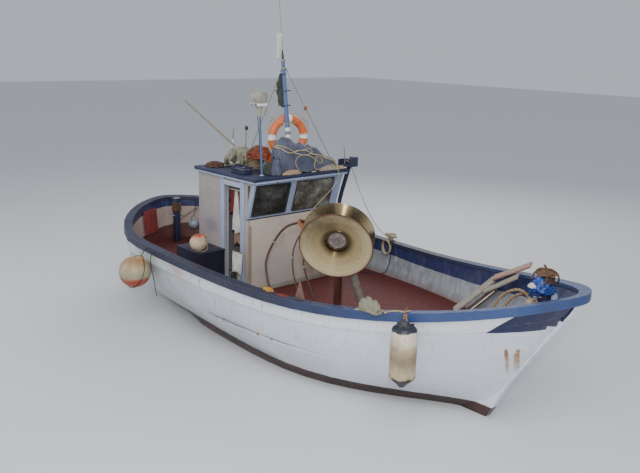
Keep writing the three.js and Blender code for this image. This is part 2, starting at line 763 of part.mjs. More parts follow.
// Rudder with its stock
const RUDDER_HALF = 18;
const rudderShape = [
  [STOCK_AT + 45, -150], [STOCK_AT + 45, -630], [STOCK_AT - 330, -600], [STOCK_AT - 360, -180],
];
const rudder = solid(sidePlate(rudderShape, -RUDDER_HALF, RUDDER_HALF)).add(
  solid(bar([STOCK_AT, 0, STOCK.bottom], [STOCK_AT, 0, STOCK.top], STOCK.radius, 16)),
);
piece("rudder", rudder, "antifouling");

// Lifebuoy behind the mast
const BUOY = { at: [-744, 96, 2688], turn: -0.19, ring: 243, tube: 57 };
const buoy = new THREE.TorusGeometry(BUOY.ring, BUOY.tube, 14, 40);
buoy.rotateY(Math.PI / 2).rotateZ(BUOY.turn).translate(...BUOY.at);
piece("lifebuoy", buoy, "orange");

// Mast on the wheelhouse roof, raked aft, with an arm to the lifebuoy and a whip aerial
const MAST_FOOT = [-565, 0, onRoof];
const MAST_HEAD = [-760, 0, 3720];
const MAST = { foot: 34, head: 24, arm: 10 };
const mastAt = (z) => {
  const share = (z - MAST_FOOT[2]) / (MAST_HEAD[2] - MAST_FOOT[2]);
  return [MAST_FOOT[0] + (MAST_HEAD[0] - MAST_FOOT[0]) * share, 0, z];
};
const buoyTop = [BUOY.at[0], BUOY.at[1], BUOY.at[2] + BUOY.ring];
const mast = solid(bar(MAST_FOOT, MAST_HEAD, MAST.foot, 16, MAST.head))
  .add(solid(bar(mastAt(buoyTop[2]), buoyTop, MAST.arm, 8)))
  .subtract(loose(buoy, 2 * GAP));
piece("mast", above(mast, onRoof), "light_blue");
const AERIAL = { top: [-905, 0, 4950], foot: 9, tip: 4, sides: 8 };
const aerialFoot = [MAST_HEAD[0], 0, MAST_HEAD[2] + GAP];
piece("aerial", bar(aerialFoot, AERIAL.top, AERIAL.foot, AERIAL.sides, AERIAL.tip), "white");

// Lamp on its own pole
const LAMP = { foot: [-470, -560, onRoof], head: [-470, -610, 3140], radius: 14 };
piece("lamp_pole", above(bar(LAMP.foot, LAMP.head, LAMP.radius, 12), onRoof), "blue");
const FLOODLIGHT = { halfX: 90, halfY: 80, high: 188, outboard: 10, above: 2 };
const [lampX, lampY] = [LAMP.head[0], LAMP.head[1] - FLOODLIGHT.outboard];
const lampLow = LAMP.head[2] + FLOODLIGHT.above;
piece(
  "floodlight",
  box(
    lampX - FLOODLIGHT.halfX, lampY - FLOODLIGHT.halfY, lampLow,
    lampX + FLOODLIGHT.halfX, lampY + FLOODLIGHT.halfY, lampLow + FLOODLIGHT.high,
  ),
  "cream",
);

// Folded tarpaulin across the front of the roof: sections from starboard to port, each with the
// middle and the half of its depth and its height above the roof
const TARP = [
  { y: -335, x: -500, half: 50, high: 250 }, { y: -305, x: -500, half: 125, high: 430 },
  { y: -200, x: -498, half: 165, high: 500 }, { y: -40, x: -496, half: 172, high: 440 },
  { y: 140, x: -490, half: 172, high: 384 }, { y: 330, x: -480, half: 165, high: 340 },
  { y: 440, x: -468, half: 155, high: 272 }, { y: 570, x: -452, half: 130, high: 195 },
  { y: 640, x: -440, half: 100, high: 150 }, { y: 690, x: -435, half: 45, high: 80 },
];
const ARCH = 12;
const ARCH_FULL = 0.8;
const MAST_SLOT = 200;
const arches = TARP.map(({ y, x, half, high }) => {
  const ring = [];
  for (let i = 0; i <= ARCH; i++) {
    const angle = (Math.PI * i) / ARCH;
    ring.push([x + half * Math.cos(angle), y, onRoof + high * Math.sin(angle) ** ARCH_FULL]);
  }
  return ring;
});
const mastSlot = solid(
  box(
    MAST_FOOT[0] - MAST_SLOT, -MAST.foot - CLEARANCE, onRoof - PAST,
    MAST_FOOT[0], MAST.foot + CLEARANCE, FAR,
  ),
).add(solid(bar([MAST_FOOT[0], 0, roofTop - PAST], MAST_HEAD, MAST.foot + CLEARANCE)));
piece("roof_tarp", solid(loft(arches)).subtract(mastSlot), "tarp");

// Heap of net and rope on the aft part of the roof, and a small one by the lamp
const HEAPS = [
  { name: "net_heap", at: [-1360, -230], halves: [230, 300, 195], lumps: 0.08, seed: 2, look: "net" },
  { name: "cork_net", at: [-520, -440], halves: [120, 78, 130], lumps: 0.06, seed: 5, look: "rubber" },
  { name: "rope_heap", at: [-990, -270], halves: [130, 160, 230], lumps: 0.06, seed: 3, look: "rope" },
];
for (const { name, at, halves, lumps, seed, look } of HEAPS) {
  piece(name, heap([...at, onRoof + HEAP_FLAT * halves[2]], halves, lumps, seed), look);
}

// Boat-hook shaft, its foot in the net heap
const GAFF = { foot: [-1416, -302, 2509], head: [-2030, -720, 3110], radius: 13 };
piece("gaff", bar(GAFF.foot, GAFF.head, GAFF.radius, 8), "wood");

// Net hauler. The sheave is two cones whose narrow ends meet in a drum with a recess on the outside.
const hauler = new THREE.Group();
hauler.position.copy(SHEAVE_AT);
hauler.quaternion.setFromUnitVectors(new THREE.Vector3(0, 0, 1), SHEAVE_AXIS);
group.add(hauler);
const halfWidth = SHEAVE_WIDTH / 2;
const DRUM = { back: 20, slope: 2, web: 12, recess: 130, wall: 8, mouth: 26, root: 12 };
const LIP = 6;
const sheaveProfile = [
  [0, -DRUM.back], [DRUM.recess + DRUM.wall, -DRUM.back - DRUM.slope],
  [SHEAVE_RADIUS - LIP, -halfWidth], [SHEAVE_RADIUS, -halfWidth],
  [SHEAVE_RADIUS, -halfWidth + PLATE_THICK], [HUB_RADIUS, -DRUM.root],
  [HUB_RADIUS, DRUM.root], [SHEAVE_RADIUS, halfWidth - PLATE_THICK],
  [SHEAVE_RADIUS, halfWidth], [SHEAVE_RADIUS - LIP, halfWidth],
  [DRUM.recess, DRUM.mouth], [DRUM.recess, -DRUM.web],
  [0, -DRUM.web],
].map(([r, z]) => new THREE.Vector2(r, z));
piece("sheave", new THREE.LatheGeometry(sheaveProfile, 48).rotateX(Math.PI / 2), "steel", hauler);
const MOTOR = { radius: 75, near: -28, far: -215 };
const motor = new THREE.CylinderGeometry(MOTOR.radius, MOTOR.radius, MOTOR.near - MOTOR.far, 24);
motor.rotateX(Math.PI / 2).translate(0, 0, (MOTOR.near + MOTOR.far) / 2);
hauler.updateMatrixWorld(true);
const placedMotor = motor.clone().applyMatrix4(hauler.matrix);

// Hydraulic hoses, each from a port on the motor's back over to a socket inside the starboard bulwark
const HOSES = [
  { name: "hose_thick", radius: 14, points: [
    [1622.7, -1131.8, 2078.8], [1575.3, -1073.7, 2105.1], [1480, -1030, 2118], [1330, -1015, 2112],
    [1180, -1040, 2075], [930, -1100, 1970], [725, -1150, 1870], [580, -1220, 1645],
    [570, -1300, 1450], [630, -1330, 1300], [700, -1345, 1165], [738, -1357, 1060], [740, -1358, 985]] },
  { name: "hose_thin", radius: 9, points: [
    [1583.5, -1150.2, 2048.6], [1548, -1106.7, 2068.3], [1475, -1055, 2055], [1370, -1030, 1990],
    [1250, -1030, 1900], [1010, -1080, 1900], [945, -1190, 1700], [1020, -1270, 1465],
    [1120, -1295, 1280], [1190, -1300, 1140], [1212, -1302, 1050], [1213, -1302, 985]] },
  { name: "hose_low", radius: 11, points: [
    [1648.6, -1097.1, 2048.6], [1613.1, -1053.6, 2068.3], [1550, -1010, 2050], [1470, -1005, 1960],
    [1400, -1035, 1850], [1300, -1080, 1760], [1160, -1130, 1700], [1120, -1200, 1600],
    [1215, -1245, 1440], [1330, -1262, 1290], [1388, -1268, 1150], [1407, -1270, 1050],
    [1408, -1270, 985]] },
];
for (const { name, radius, points } of HOSES) {
  piece(name, hose(points, radius), "rubber");
}
const PORT = { wall: 8, long: 30 };
const SOCKET = { wall: 6, long: 45, gap: 2 };
let motorBody = solid(placedMotor);
for (const { radius, points } of HOSES) {
  const end = new THREE.Vector3(...points[0]).addScaledVector(SHEAVE_AXIS, GAP);
  const root = end.clone().addScaledVector(SHEAVE_AXIS, PORT.long + PAST);
  motorBody = motorBody.add(solid(bar(root.toArray(), end.toArray(), radius + PORT.wall, 16)));
}
piece("hauler_motor", motorBody, "iron");

// Rigid pipe along the inside of the bulwark, with a socket for each hose
const PIPE_RADIUS = 14;
const PIPE_DOWN = 40;
const sockets = HOSES.map(({ points }) => points[points.length - 1]);
const pipeMiddle = [960, -1330, sockets[0][2] - PIPE_DOWN];
const pipePath = [sockets[0], pipeMiddle, sockets[1], sockets[2]].map(([x, y], i) =>
  i === 1 ? pipeMiddle : [x, y, sockets[0][2] - PIPE_DOWN],
);
let pipe = solid(hose(pipePath, PIPE_RADIUS, 10, 16));
HOSES.forEach(({ radius }, i) => {
  const [x, y, z] = sockets[i];
  const socket = bar([x, y, z - SOCKET.long], [x, y, z - SOCKET.gap], radius + SOCKET.wall, 14);
  pipe = pipe.add(solid(socket));
});
piece("hauler_pipe", pipe, "iron");

// The hauler's frame: two legs, each on a round foot on the deck, welded together at the motor
const LEGS = [
  { foot: [1300, -830], reach: 0.86, radius: 46, flange: 120 },
  { foot: [1580, -540], reach: 0.9, radius: 34, flange: 90 },
];
const FLANGE_THICK = 18;
const legs = LEGS.map(({ foot, reach, radius, flange }) => {
  const along = MOTOR.near + (MOTOR.far - MOTOR.near) * reach;
  const head = SHEAVE_AT.clone().addScaledVector(SHEAVE_AXIS, along);
  const low = [...foot, DECK_TOP + GAP];
  return solid(bar(low, head.toArray(), radius, 16)).add(
    solid(bar(low, [...foot, DECK_TOP + GAP + FLANGE_THICK], flange, 20)),
  );
});
const frame = legs[0].add(legs[1]).subtract(loose(geometryOf(motorBody), 2 * GAP));
piece("hauler_column", above(frame, DECK_TOP + GAP), "iron");

// Bent post with a roller head at the port forward corner of the wheelhouse
const GALLOWS = { radius: 30, sides: 12, steps: 16, head: [-470, 790, 2276, -230, 950, 2410] };
const gallowsPath = [
  [-520, 870, DECK_TOP + GAP], [-520, 870, 1500], [-500, 872, 1740], [-333, 876, 2262],
];
const gallows = hose(gallowsPath, GALLOWS.radius, GALLOWS.sides, GALLOWS.steps);
piece("gallows_post", above(gallows, DECK_TOP + GAP), "blue");
piece("gallows_head", box(...GALLOWS.head), "dark_blue");

// Fender over the starboard bow and round floats: on the starboard quarter, the locker and the stern
const FENDER_AT = [2678, -1222, 615];
const fenderProfile = [
  [0, 0], [60, 15], [125, 80], [135, 140], [135, 550], [120, 620], [60, 670], [45, 705], [0, 705],
].map(([r, z]) => new THREE.Vector2(r, z));
const fender = new THREE.LatheGeometry(fenderProfile, 20);
piece("fender", fender.rotateX(Math.PI / 2).translate(...FENDER_AT), "cream");
const BELTS = 0.66;
const lockerFloatRadius = 118;
const onLocker = LOCKER.top + LOCKER.lid + 1;
const FLOATS = [
  { name: "quarter_float", at: [-1756, -1725, 858], radius: 216, sides: 24, look: "orange" },
  {
    name: "locker_float", at: [-1062, -1156, onLocker + lockerFloatRadius],
    radius: lockerFloatRadius, sides: 18, look: "orange",
  },
  { name: "stern_float", at: [-3526, 371, 914], radius: 82, sides: 16, look: "tarp" },
];
for (const { name, at, radius, sides, look } of FLOATS) {
  const ball = new THREE.SphereGeometry(radius, sides, Math.round(sides * BELTS));
  piece(name, ball.translate(...at), look);
}

// Boards that lean in the bow, each from its lower end to its upper end
const BOARDS = [
  { name: "plank_long", from: [1642, 904, 684], to: [2066, 1116, 1166], wide: 100, thick: 30 },
  { name: "plank_upper", from: [2085, 1070, 1195], to: [2603, 1048, 1483], wide: 90, thick: 28 },
  { name: "plank_brown", from: [1770, 1000, 682], to: [2138, 1090, 1075], wide: 90, thick: 26 },
];
for (const { name, from, to, wide, thick } of BOARDS) {
  piece(name, board(from, to, wide, thick), "wood");
}

// Platform in the bow, with its bitt, and a bitt at the stern
const PLATFORM = { aft: 2980, top: 1200, thick: 32 };
const platform = hullRoomClear.intersect(
  solid(box(PLATFORM.aft, -FAR, PLATFORM.top - PLATFORM.thick, FAR, FAR, PLATFORM.top)),
);
piece("bow_platform", platform, "blue");
const BITTS = [
  { name: "bow_bitt", x: 3445, y: 0, half: 50, low: PLATFORM.top, top: 1770, look: "blue" },
  { name: "stern_bitt", x: -3455, y: 0, half: 45, low: DECK_TOP, top: 1400, look: "dark_blue" },
];
for (const { name, x, y, half, low, top, look } of BITTS) {
  piece(name, box(x - half, y - half, low + GAP, x + half, y + half, top), look);
}

// Taut stays from the masthead to the roof
const STAY = { radius: 5, head: 3600, off: 36 };
const [stayX] = mastAt(STAY.head);
const STAYS = [
  { name: "stay_aft", foot: [-1630, 60, onRoof], from: [stayX - STAY.off, 4] },
  { name: "stay_port", foot: [-480, 745, onRoof], from: [stayX, STAY.off] },
];
for (const { name, foot, from } of STAYS) {
  piece(name, above(bar([...from, STAY.head], foot, STAY.radius, 8), onRoof), "iron");
}

export default group;
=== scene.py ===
# %% [markdown]
# # A small inshore fishing boat with a net hauler
# The hull, the wheelhouse and the machinery come from CAD as one fixed frame. Everything here is in
# metres in that frame: +X is the bow, +Y is port, +Z is up, and z = 0 is the water's surface.

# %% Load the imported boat
from math import atan2, ceil, cos, exp, pi, radians, sin, tau

import bmesh
import bpy
import numpy as np
from mathutils import Matrix, Vector, noise
from mathutils.bvhtree import BVHTree


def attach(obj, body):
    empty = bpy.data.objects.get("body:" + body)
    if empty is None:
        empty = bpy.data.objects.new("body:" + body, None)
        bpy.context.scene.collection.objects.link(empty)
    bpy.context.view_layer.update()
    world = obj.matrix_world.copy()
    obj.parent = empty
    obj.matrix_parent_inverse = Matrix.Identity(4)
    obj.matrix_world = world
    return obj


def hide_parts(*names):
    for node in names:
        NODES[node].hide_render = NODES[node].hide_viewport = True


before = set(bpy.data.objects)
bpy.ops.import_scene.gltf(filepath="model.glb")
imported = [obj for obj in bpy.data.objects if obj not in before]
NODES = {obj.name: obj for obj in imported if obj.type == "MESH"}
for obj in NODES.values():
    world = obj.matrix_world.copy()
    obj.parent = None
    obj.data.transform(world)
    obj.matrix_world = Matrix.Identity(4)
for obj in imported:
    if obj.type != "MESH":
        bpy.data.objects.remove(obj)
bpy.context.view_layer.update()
scene = bpy.context.scene
MM = 0.001
X, Y, Z = Vector((1, 0, 0)), Vector((0, 1, 0)), Vector((0, 0, 1))

# %% [markdown]
# ## The camera
# The photograph was taken from a quay, above the rail and off the starboard bow. The place and the
# angles below were solved from the sheer line, the posts of the house and the rail's far side.

# %% Camera
CAMERA_AT = Vector((7.502, -6.781, 3.958))
YAW, PITCH, ROLL = 2.4023, 0.2428, 0.0273
LENS, SENSOR = 44.2487, 36
forward = Vector((cos(YAW) * cos(PITCH), sin(YAW) * cos(PITCH), -sin(PITCH)))
level_right = Vector((sin(YAW), -cos(YAW), 0))
level_up = level_right.cross(forward)
cam_right = cos(ROLL) * level_right + sin(ROLL) * level_up
cam_up = -sin(ROLL) * level_right + cos(ROLL) * level_up
camera = bpy.data.objects.new("camera", bpy.data.cameras.new("camera"))
camera.data.lens = LENS
camera.data.sensor_width = SENSOR
camera.data.sensor_fit = "HORIZONTAL"
camera.matrix_world = (Matrix.Translation(CAMERA_AT)
                       @ Matrix((cam_right, cam_up, -forward)).transposed().to_4x4())
scene.collection.objects.link(camera)
scene.camera = camera

# %% [markdown]
# ## One function that adds a shader node
# Every finish below is a small graph. `add` makes one node, sets its options and its sockets, and
# links whatever is given as another node's output, so that a graph reads from top to bottom. `Graph`
# holds one material's tree, with the few steps that every finish repeats.


# %% Node helper and colours
def add(tree, kind, sockets=(), **options):
    made = tree.nodes.new(kind)
    for key, value in options.items():
        setattr(made, key, value)
    for key, value in dict(sockets).items():
        if isinstance(value, bpy.types.NodeSocket):
            tree.links.new(value, made.inputs[key])
        else:
            made.inputs[key].default_value = value
    return made


def srgb(text):
    parts = [int(text[i:i + 2], 16) / 255 for i in (1, 3, 5)]
    return tuple(p / 12.92 if p <= 0.04045 else ((p + 0.055) / 1.055) ** 2.4 for p in parts) + (1.0,)


# %% One material's graph
class Graph:
    """One material. Each step adds nodes and gives back an output; colours are sRGB hex or outputs."""

    def __init__(self, name):
        self.material = bpy.data.materials.new(name)
        self.material.use_nodes = True
        self.material.node_tree.nodes.clear()
        self.here = self.add("TexCoord")["Object"]

    def add(self, kind, sockets=(), **options):
        return add(self.material.node_tree, "ShaderNode" + kind, sockets, **options).outputs

    def noise(self, scale, detail, where=None):
        return self.add("TexNoise", {"Vector": where or self.here, "Scale": scale, "Detail": detail})["Fac"]

    def cloudy(self, scale, low, high, detail=5, stretch=(1, 1, 1), roughness=0.6, where=None):
        """A grey mask from 0 to 1: noise of that many blotches a metre, cut between low and high."""
        where = self.add("Mapping", {"Vector": where or self.here, "Scale": stretch})[0]
        grey = self.add("TexNoise", {"Vector": where, "Scale": scale, "Detail": detail, "Roughness": roughness})
        return self.ramp(grey["Fac"], low, high)

    def between(self, mask, first, second):
        """first where the mask is 0, second where it is 1."""
        first, second = (srgb(c) if isinstance(c, str) else c for c in (first, second))
        return self.add("Mix", {0: mask, 6: first, 7: second}, data_type="RGBA")[2]

    def tint(self, tone, mask, colour, amount=1.0):
        """tone, coloured by that amount where the mask is 1."""
        return self.between(mask if amount == 1.0 else self.times(mask, amount), tone, colour)

    def times(self, one, other, operation="MULTIPLY"):
        return self.add("Math", {0: one, 1: other}, operation=operation, use_clamp=True)[0]

    def plain(self, one, other, operation):
        return self.add("Math", {0: one, 1: other}, operation=operation)[0]

    def ramp(self, value, low=0.0, high=1.0, to_low=0.0, to_high=1.0):
        return self.add("MapRange", {"Value": value, "From Min": low, "From Max": high, "To Min": to_low,
                                     "To Max": to_high}, clamp=True)[0]

    def vector(self, operation, one, other=(0, 0, 0), out=0):
        return self.add("VectorMath", {0: one, 1: other}, operation=operation)[out]

    def split(self, vector):
        return self.add("SeparateXYZ", {0: vector})

    def spot(self, centre, halves, ragged=0.5):
        """A mask that is 1 inside a ragged ellipsoid and 0 outside it."""
        off = self.vector("DIVIDE", self.vector("SUBTRACT", self.here, centre), halves)
        far = self.vector("LENGTH", off, out="Value")
        wave = self.plain(self.noise(9.0, 6.0), ragged * 2, "MULTIPLY")
        return self.ramp(self.plain(far, wave, "ADD"), 1.0 + ragged * 1.1, 1.0 + ragged * 0.1)

    def close(self, colour, rough, height, depth, metallic=0.0, ior=1.5, **more):
        """The shader and the output. depth is the bump's height in metres."""
        bump = self.add("Bump", {"Height": height, "Distance": depth, "Strength": 1.0})[0]
        sockets = {"Base Color": colour, "Roughness": rough, "Normal": bump, "Metallic": metallic}
        if not metallic:
            sockets["IOR"] = ior
        sockets.update(more)
        self.add("OutputMaterial", {"Surface": self.add("BsdfPrincipled", sockets)[0]})
        return self.material


# %% [markdown]
# ## Marine paint
# Most of a small workboat is brushed enamel over primer and wood. It is matt after a season, lighter
# where it chalks, and chips through to primer along every edge that ropes and boots touch. Grime
# gathers in blotches and runs down in streaks. One function makes the family: the coat, what shows
# under a chip, the grime, and how much of each.


# %% Painted surfaces
def paint(name, coat, under, grime, chips=0.3, dirt=0.4, streaks=0.3, edge=0.5, rough=0.5, pale=0.25,
          ahead=None, spots=()):
    """ahead is a second coat that takes over towards the bow, from x = 0.9 m to 2.7 m."""
    g = Graph(name)
    base = srgb(coat)
    if ahead:
        base = g.between(g.ramp(g.split(g.here)["X"], 0.9, 2.7), coat, ahead)
    tone = g.tint(base, g.cloudy(3.5, 0.35, 0.7, 6), g.between(0.5, base, under), pale)
    mottle = g.cloudy(28, 0.3, 0.75, 4)
    tone = g.tint(tone, mottle, grime, 0.16)
    # Rain draws the grime down in streaks about 25 mm apart.
    tone = g.tint(tone, g.cloudy(9, 0.5, 0.72, 5, (4.5, 4.5, 0.35)), grime, streaks)
    tone = g.tint(tone, g.cloudy(2.2, 0.5, 0.72, 7, roughness=0.7), grime, dirt)
    for centre, halves, colour, strength in spots:
        tone = g.tint(tone, g.spot(centre, halves), colour, strength)
    # Chips 3 to 15 mm across, many of them along edges.
    chip = g.cloudy(55, 0.66 - 0.1 * chips, 0.7 - 0.1 * chips, 6, (1, 1, 0.7), 0.7)
    bare = g.times(g.times(chip, g.cloudy(5, 0.42, 0.6, 3)), chips * 2)
    round_normal = g.add("Bevel", {"Radius": 0.012}, samples=4)[0]
    corner = g.vector("DOT_PRODUCT", round_normal, g.add("NewGeometry")["Normal"], "Value")
    rim = g.times(g.times(g.ramp(corner, 0.97, 0.8), g.cloudy(30, 0.4, 0.56, 5)), edge)
    bare = g.times(bare, rim, "MAXIMUM")
    tone = g.tint(tone, bare, under)
    gloss = g.ramp(mottle, 0, 1, rough - 0.08, rough + 0.2)
    depth = g.times(g.times(g.noise(160.0, 3.0), 0.35), g.times(bare, 0.5), "SUBTRACT")
    return g.close(tone, gloss, depth, 0.0012)


LOOKS = {
    # key: name, coat, under, grime; chips, dirt, streaks, edge, roughness, chalk
    "blue": paint("blue_rail_enamel", "#23273f", "#7f8696", "#1b1e2e", 0.4, 0.45, 0.1, 0.45, 0.45, 0.14,
                  ahead="#31487a"),
    "navy": paint("navy_enamel", "#1f2546", "#6c6e80", "#15171f", 0.3, 0.3, 0.2, 0.4),
    "mast": paint("mid_blue_enamel", "#4d6294", "#9aa3b4", "#3a3f52", 0.35, 0.3, 0.2, 0.4),
    "locker": paint("dark_purple_blue_enamel", "#1f1c30", "#575a6e", "#141219", 0.3, 0.3, 0.15, 0.35),
    "gloss_navy": paint("dark_blue_gloss", "#181e48", "#4f5678", "#15182f", 0.12, 0.15, 0.1, 0.0, 0.32, 0.05),
    "sky": paint("pale_blue_enamel", "#93a4c4", "#cfcdc4", "#5d5a58", 0.3, 0.25, 0.2, 0.4),
    "cream": paint("mauve_grey_house_enamel", "#a59894", "#77829a", "#6f625c", 0.2, 0.4, 0.12, 0.3, 0.5, 0.35,
                   spots=[((-1.30, -0.79, 1.47), (0.20, 0.05, 0.12), "#6d7688", 0.5),
                          ((-0.54, -0.79, 1.25), (0.05, 0.05, 0.5), "#b08a4e", 0.4)]),
    "front": paint("cream_house_front_enamel", "#bcae9e", "#8f99ab", "#86725a", 0.2, 0.42, 0.12, 0.3, 0.5, 0.3,
                   spots=[((-0.486, -0.29, 0.93), (0.05, 0.34, 0.30), "#8f96a6", 0.34),
                          ((-0.486, 0.35, 0.95), (0.05, 0.12, 0.24), "#7d5a44", 0.35),
                          ((-0.486, -0.74, 1.3), (0.05, 0.04, 0.5), "#b89a5e", 0.4)]),
    "beige": paint("beige_enamel", "#8d8378", "#b9b3ab", "#4f4a46", 0.3, 0.35, 0.3, 0.4),
    "deck": paint("red_oxide_deck_paint", "#5b1b15", "#47211c", "#321e1a", 0.45, 0.5, 0.03, 0.5, 0.68, 0.2),
}
print("paints", sorted(LOOKS))

# %% [markdown]
# ## The hull's own paint
# The topsides are white enamel on planks: clean and faintly blue forward, greyer aft as painted shade
# where the side gets less light, and green there with weed and more painted shade, with rust weeping
# from fastenings. Inside, the bulwark has a blue band under the rail and grey-white planks below it,
# darkened as painted shade. Under the paint line the coat is dark antifouling. One object wears all
# of it, so masks made of its height and of which way a face looks divide the coats.

# %% Hull enamel
RUST_RUNS = [
    # x at its top, top height, length down, half width, strength, lean of x per m of height
    (0.509, 0.560, 0.05, 0.030, 0.9, 0), (-0.298, 0.555, 0.06, 0.025, 0.8, 0), (0.739, 0.560, 0.04, 0.022, 0.7, 0),
    (-0.146, 0.556, 0.05, 0.022, 0.7, 0), (-0.214, 0.80, 0.26, 0.011, 0.6, 0.35), (-0.485, 1.015, 0.10, 0.016, 0.8, 0),
    (0.724, 1.005, 0.09, 0.014, 0.6, 0), (3.298, 0.995, 0.42, 0.016, 1.0, 0.31), (3.365, 0.988, 0.38, 0.015, 1.0, 0.36),
    (3.330, 0.935, 0.30, 0.010, 0.7, 0.34), (-1.70, 0.90, 0.16, 0.014, 0.5, 0), (-2.6, 0.97, 0.2, 0.02, 0.5, 0),
    (1.62, 0.99, 0.1, 0.010, 0.3, 0),
]
HALF_LENGTH, LOWEST_AT, SHEER_LOW, FORE_RISE, AFT_RISE = 3.9, 0.555, 1.16, 0.5, 0.222
TOP_PLANK, PAINT_LINE, RIPPLE = 0.2595, 0.126, 0.006


def rust_runs(g, x, y, z):
    """A mask of the runs, on the starboard side."""
    rust = None
    for at, top, down, half, strength, lean in RUST_RUNS:
        drop = g.plain(top, z, "SUBTRACT")
        along = g.plain(x, g.plain(drop, lean, "MULTIPLY"), "ADD")
        across = g.plain(g.plain(along, at, "SUBTRACT"), 0, "ABSOLUTE")
        one = g.times(g.ramp(across, half, half * 0.3), g.ramp(drop, down, 0.0))
        one = g.times(g.times(one, g.ramp(drop, -0.012, 0.0)), strength * 1.7)
        rust = g.times(rust, one, "MAXIMUM") if rust else one
    starboard = g.plain(y, 0.0, "LESS_THAN")
    return g.times(rust, g.times(starboard, g.cloudy(26, 0.2, 0.5, 5, (3, 3, 0.8))))


def bulwark_lining(g, x, y, z, under_sheer):
    """Inside: a blue band under the rail, then grey-white with pale smears, buff at the stern."""
    # Painted shade: the grey-white is set darker than its paint, for the shade inside the bulwark.
    lining = g.between(g.cloudy(3, 0.35, 0.7, 6), "#9a9ea3", "#7e8288")
    smear = g.cloudy(7, 0.5, 0.66, 5, (2.6, 2.6, 0.5))
    lining = g.tint(lining, smear, "#bcbfc4", 0.45)
    lining = g.tint(lining, g.ramp(x, -2.6, -3.2), "#b59a8a", 0.7)
    rag = g.plain(g.noise(5.0, 5.0), 0.03, "MULTIPLY")
    depth_of_band = g.plain(g.ramp(x, -1.0, 1.8, 0.15, 0.235), rag, "ADD")
    blue = g.plain(under_sheer, depth_of_band, "LESS_THAN")
    lining = g.between(blue, lining, g.tint(srgb("#292f58"), smear, "#565d86", 0.35))
    lining = g.tint(lining, g.cloudy(4, 0.5, 0.72, 7), "#5f5d60", 0.35)
    lining = g.tint(lining, g.times(g.ramp(z, 0.78, 0.68), 0.5), "#6d4a44")
    # At the stern the deck's dark red is carried up the side, higher to port.
    red_top = g.plain(g.ramp(y, -1.2, 0.3, 0.78, 0.90), rag, "ADD")
    below = g.plain(g.plain(red_top, z, "SUBTRACT"), 0.0, "GREATER_THAN")
    return g.tint(lining, g.times(below, g.ramp(x, -2.35, -2.6)), "#542723", 0.9)


# %% The coats put together
def hull_enamel():
    g = Graph("white_topsides_and_antifouling")
    x, y, z = (g.split(g.here)[axis] for axis in "XYZ")
    # How far a place lies under the sheer: the sheer's own curve of x, worked out in the shader.
    share = g.ramp(x, -HALF_LENGTH, HALF_LENGTH)
    rises = [g.plain(g.plain(part, part, "MULTIPLY"), rise, "MULTIPLY") for part, rise in
             ((g.ramp(share, LOWEST_AT, 1.0), FORE_RISE), (g.ramp(share, LOWEST_AT, 0.0), AFT_RISE))]
    under_sheer = g.plain(g.plain(g.plain(*rises, "ADD"), SHEER_LOW, "ADD"), z, "SUBTRACT")
    white = g.tint(srgb("#dfe3ee"), g.cloudy(1.3, 0.35, 0.7, 5, (1, 1, 2.2)), "#c9cdd6", 0.5)
    # Greyer aft: painted shade, as the after part of the side gets less light.
    aft = g.ramp(x, 1.6, -2.4)
    white = g.tint(white, aft, "#9da2a3", 0.75)
    # The top plank under the rail is cleaner; a hair seam parts it from the next.
    white = g.tint(white, g.ramp(under_sheer, TOP_PLANK + 0.0025, TOP_PLANK - 0.0035), "#eceef4", 0.5)
    run = g.cloudy(7, 0.52, 0.8, 6, (3.5, 3.5, 0.3))
    white = g.tint(white, run, "#8c9192", 0.4)
    white = g.tint(white, g.cloudy(5, 0.5, 0.75, 6, (0.5, 0.5, 7)), "#f2f4f8", 0.3)
    # Green-grey aft and low down: weed, and in part painted shade on the dimmer after side.
    weed_and_shade = g.times(g.times(aft, 0.75), g.times(g.ramp(z, 0.62, 0.1), 0.25), "ADD")
    white = g.tint(white, g.times(weed_and_shade, g.cloudy(2.6, 0.38, 0.8, 7)), "#777b6c")
    seam = g.times(g.ramp(g.plain(z, 0.13, "PINGPONG"), 0.004, 0.001), g.cloudy(2, 0.5, 0.6, 4))
    parting = g.times(g.ramp(under_sheer, TOP_PLANK - 0.004, TOP_PLANK - 0.002),
                      g.ramp(under_sheer, TOP_PLANK + 0.003, TOP_PLANK + 0.001))
    seam = g.times(g.times(seam, 0.4), parting, "MAXIMUM")
    white = g.tint(white, seam, "#5d6058", 0.55)
    stain = g.between(g.cloudy(9, 0.4, 0.6, 4), "#8a4a1c", "#c08a32")
    white = g.between(rust_runs(g, x, y, z), white, stain)
    white = g.tint(white, g.spot((-0.98, -1.45, 1.0), (0.17, 0.4, 0.09)), "#b58f7d", 0.5)
    white = g.tint(white, g.cloudy(2.6, 0.66, 0.7, 6, (1, 1, 9), 0.75), "#3f4240", 0.5)
    # A face looks inward where its normal points against its own place.
    normal = g.split(g.add("NewGeometry")["True Normal"])
    facing = g.plain(g.plain(g.plain(x, 0.35, "MULTIPLY"), normal["X"], "MULTIPLY"),
                     g.plain(y, normal["Y"], "MULTIPLY"), "ADD")
    inward = g.times(g.plain(facing, 0.0, "LESS_THAN"), g.plain(z, 0.5, "GREATER_THAN"))
    white = g.between(inward, white, bulwark_lining(g, x, y, z, under_sheer))
    under = g.between(g.cloudy(6, 0.35, 0.65, 7), "#4a302c", "#2c2022")
    under = g.tint(under, g.cloudy(4, 0.5, 0.7, 6, (1, 1, 3)), "#4b4636", 0.6)
    line = g.ramp(g.noise(9.0, 4.0), 0, 1, PAINT_LINE - RIPPLE, PAINT_LINE + RIPPLE)
    tone = g.between(g.plain(z, line, "GREATER_THAN"), under, white)
    depth = g.times(g.times(g.cloudy(120, 0.3, 0.7, 3), 0.2), g.times(seam, 0.7), "SUBTRACT")
    return g.close(tone, g.ramp(run, 0, 1, 0.3, 0.5), depth, 0.0008)


LOOKS["hull"] = hull_enamel()

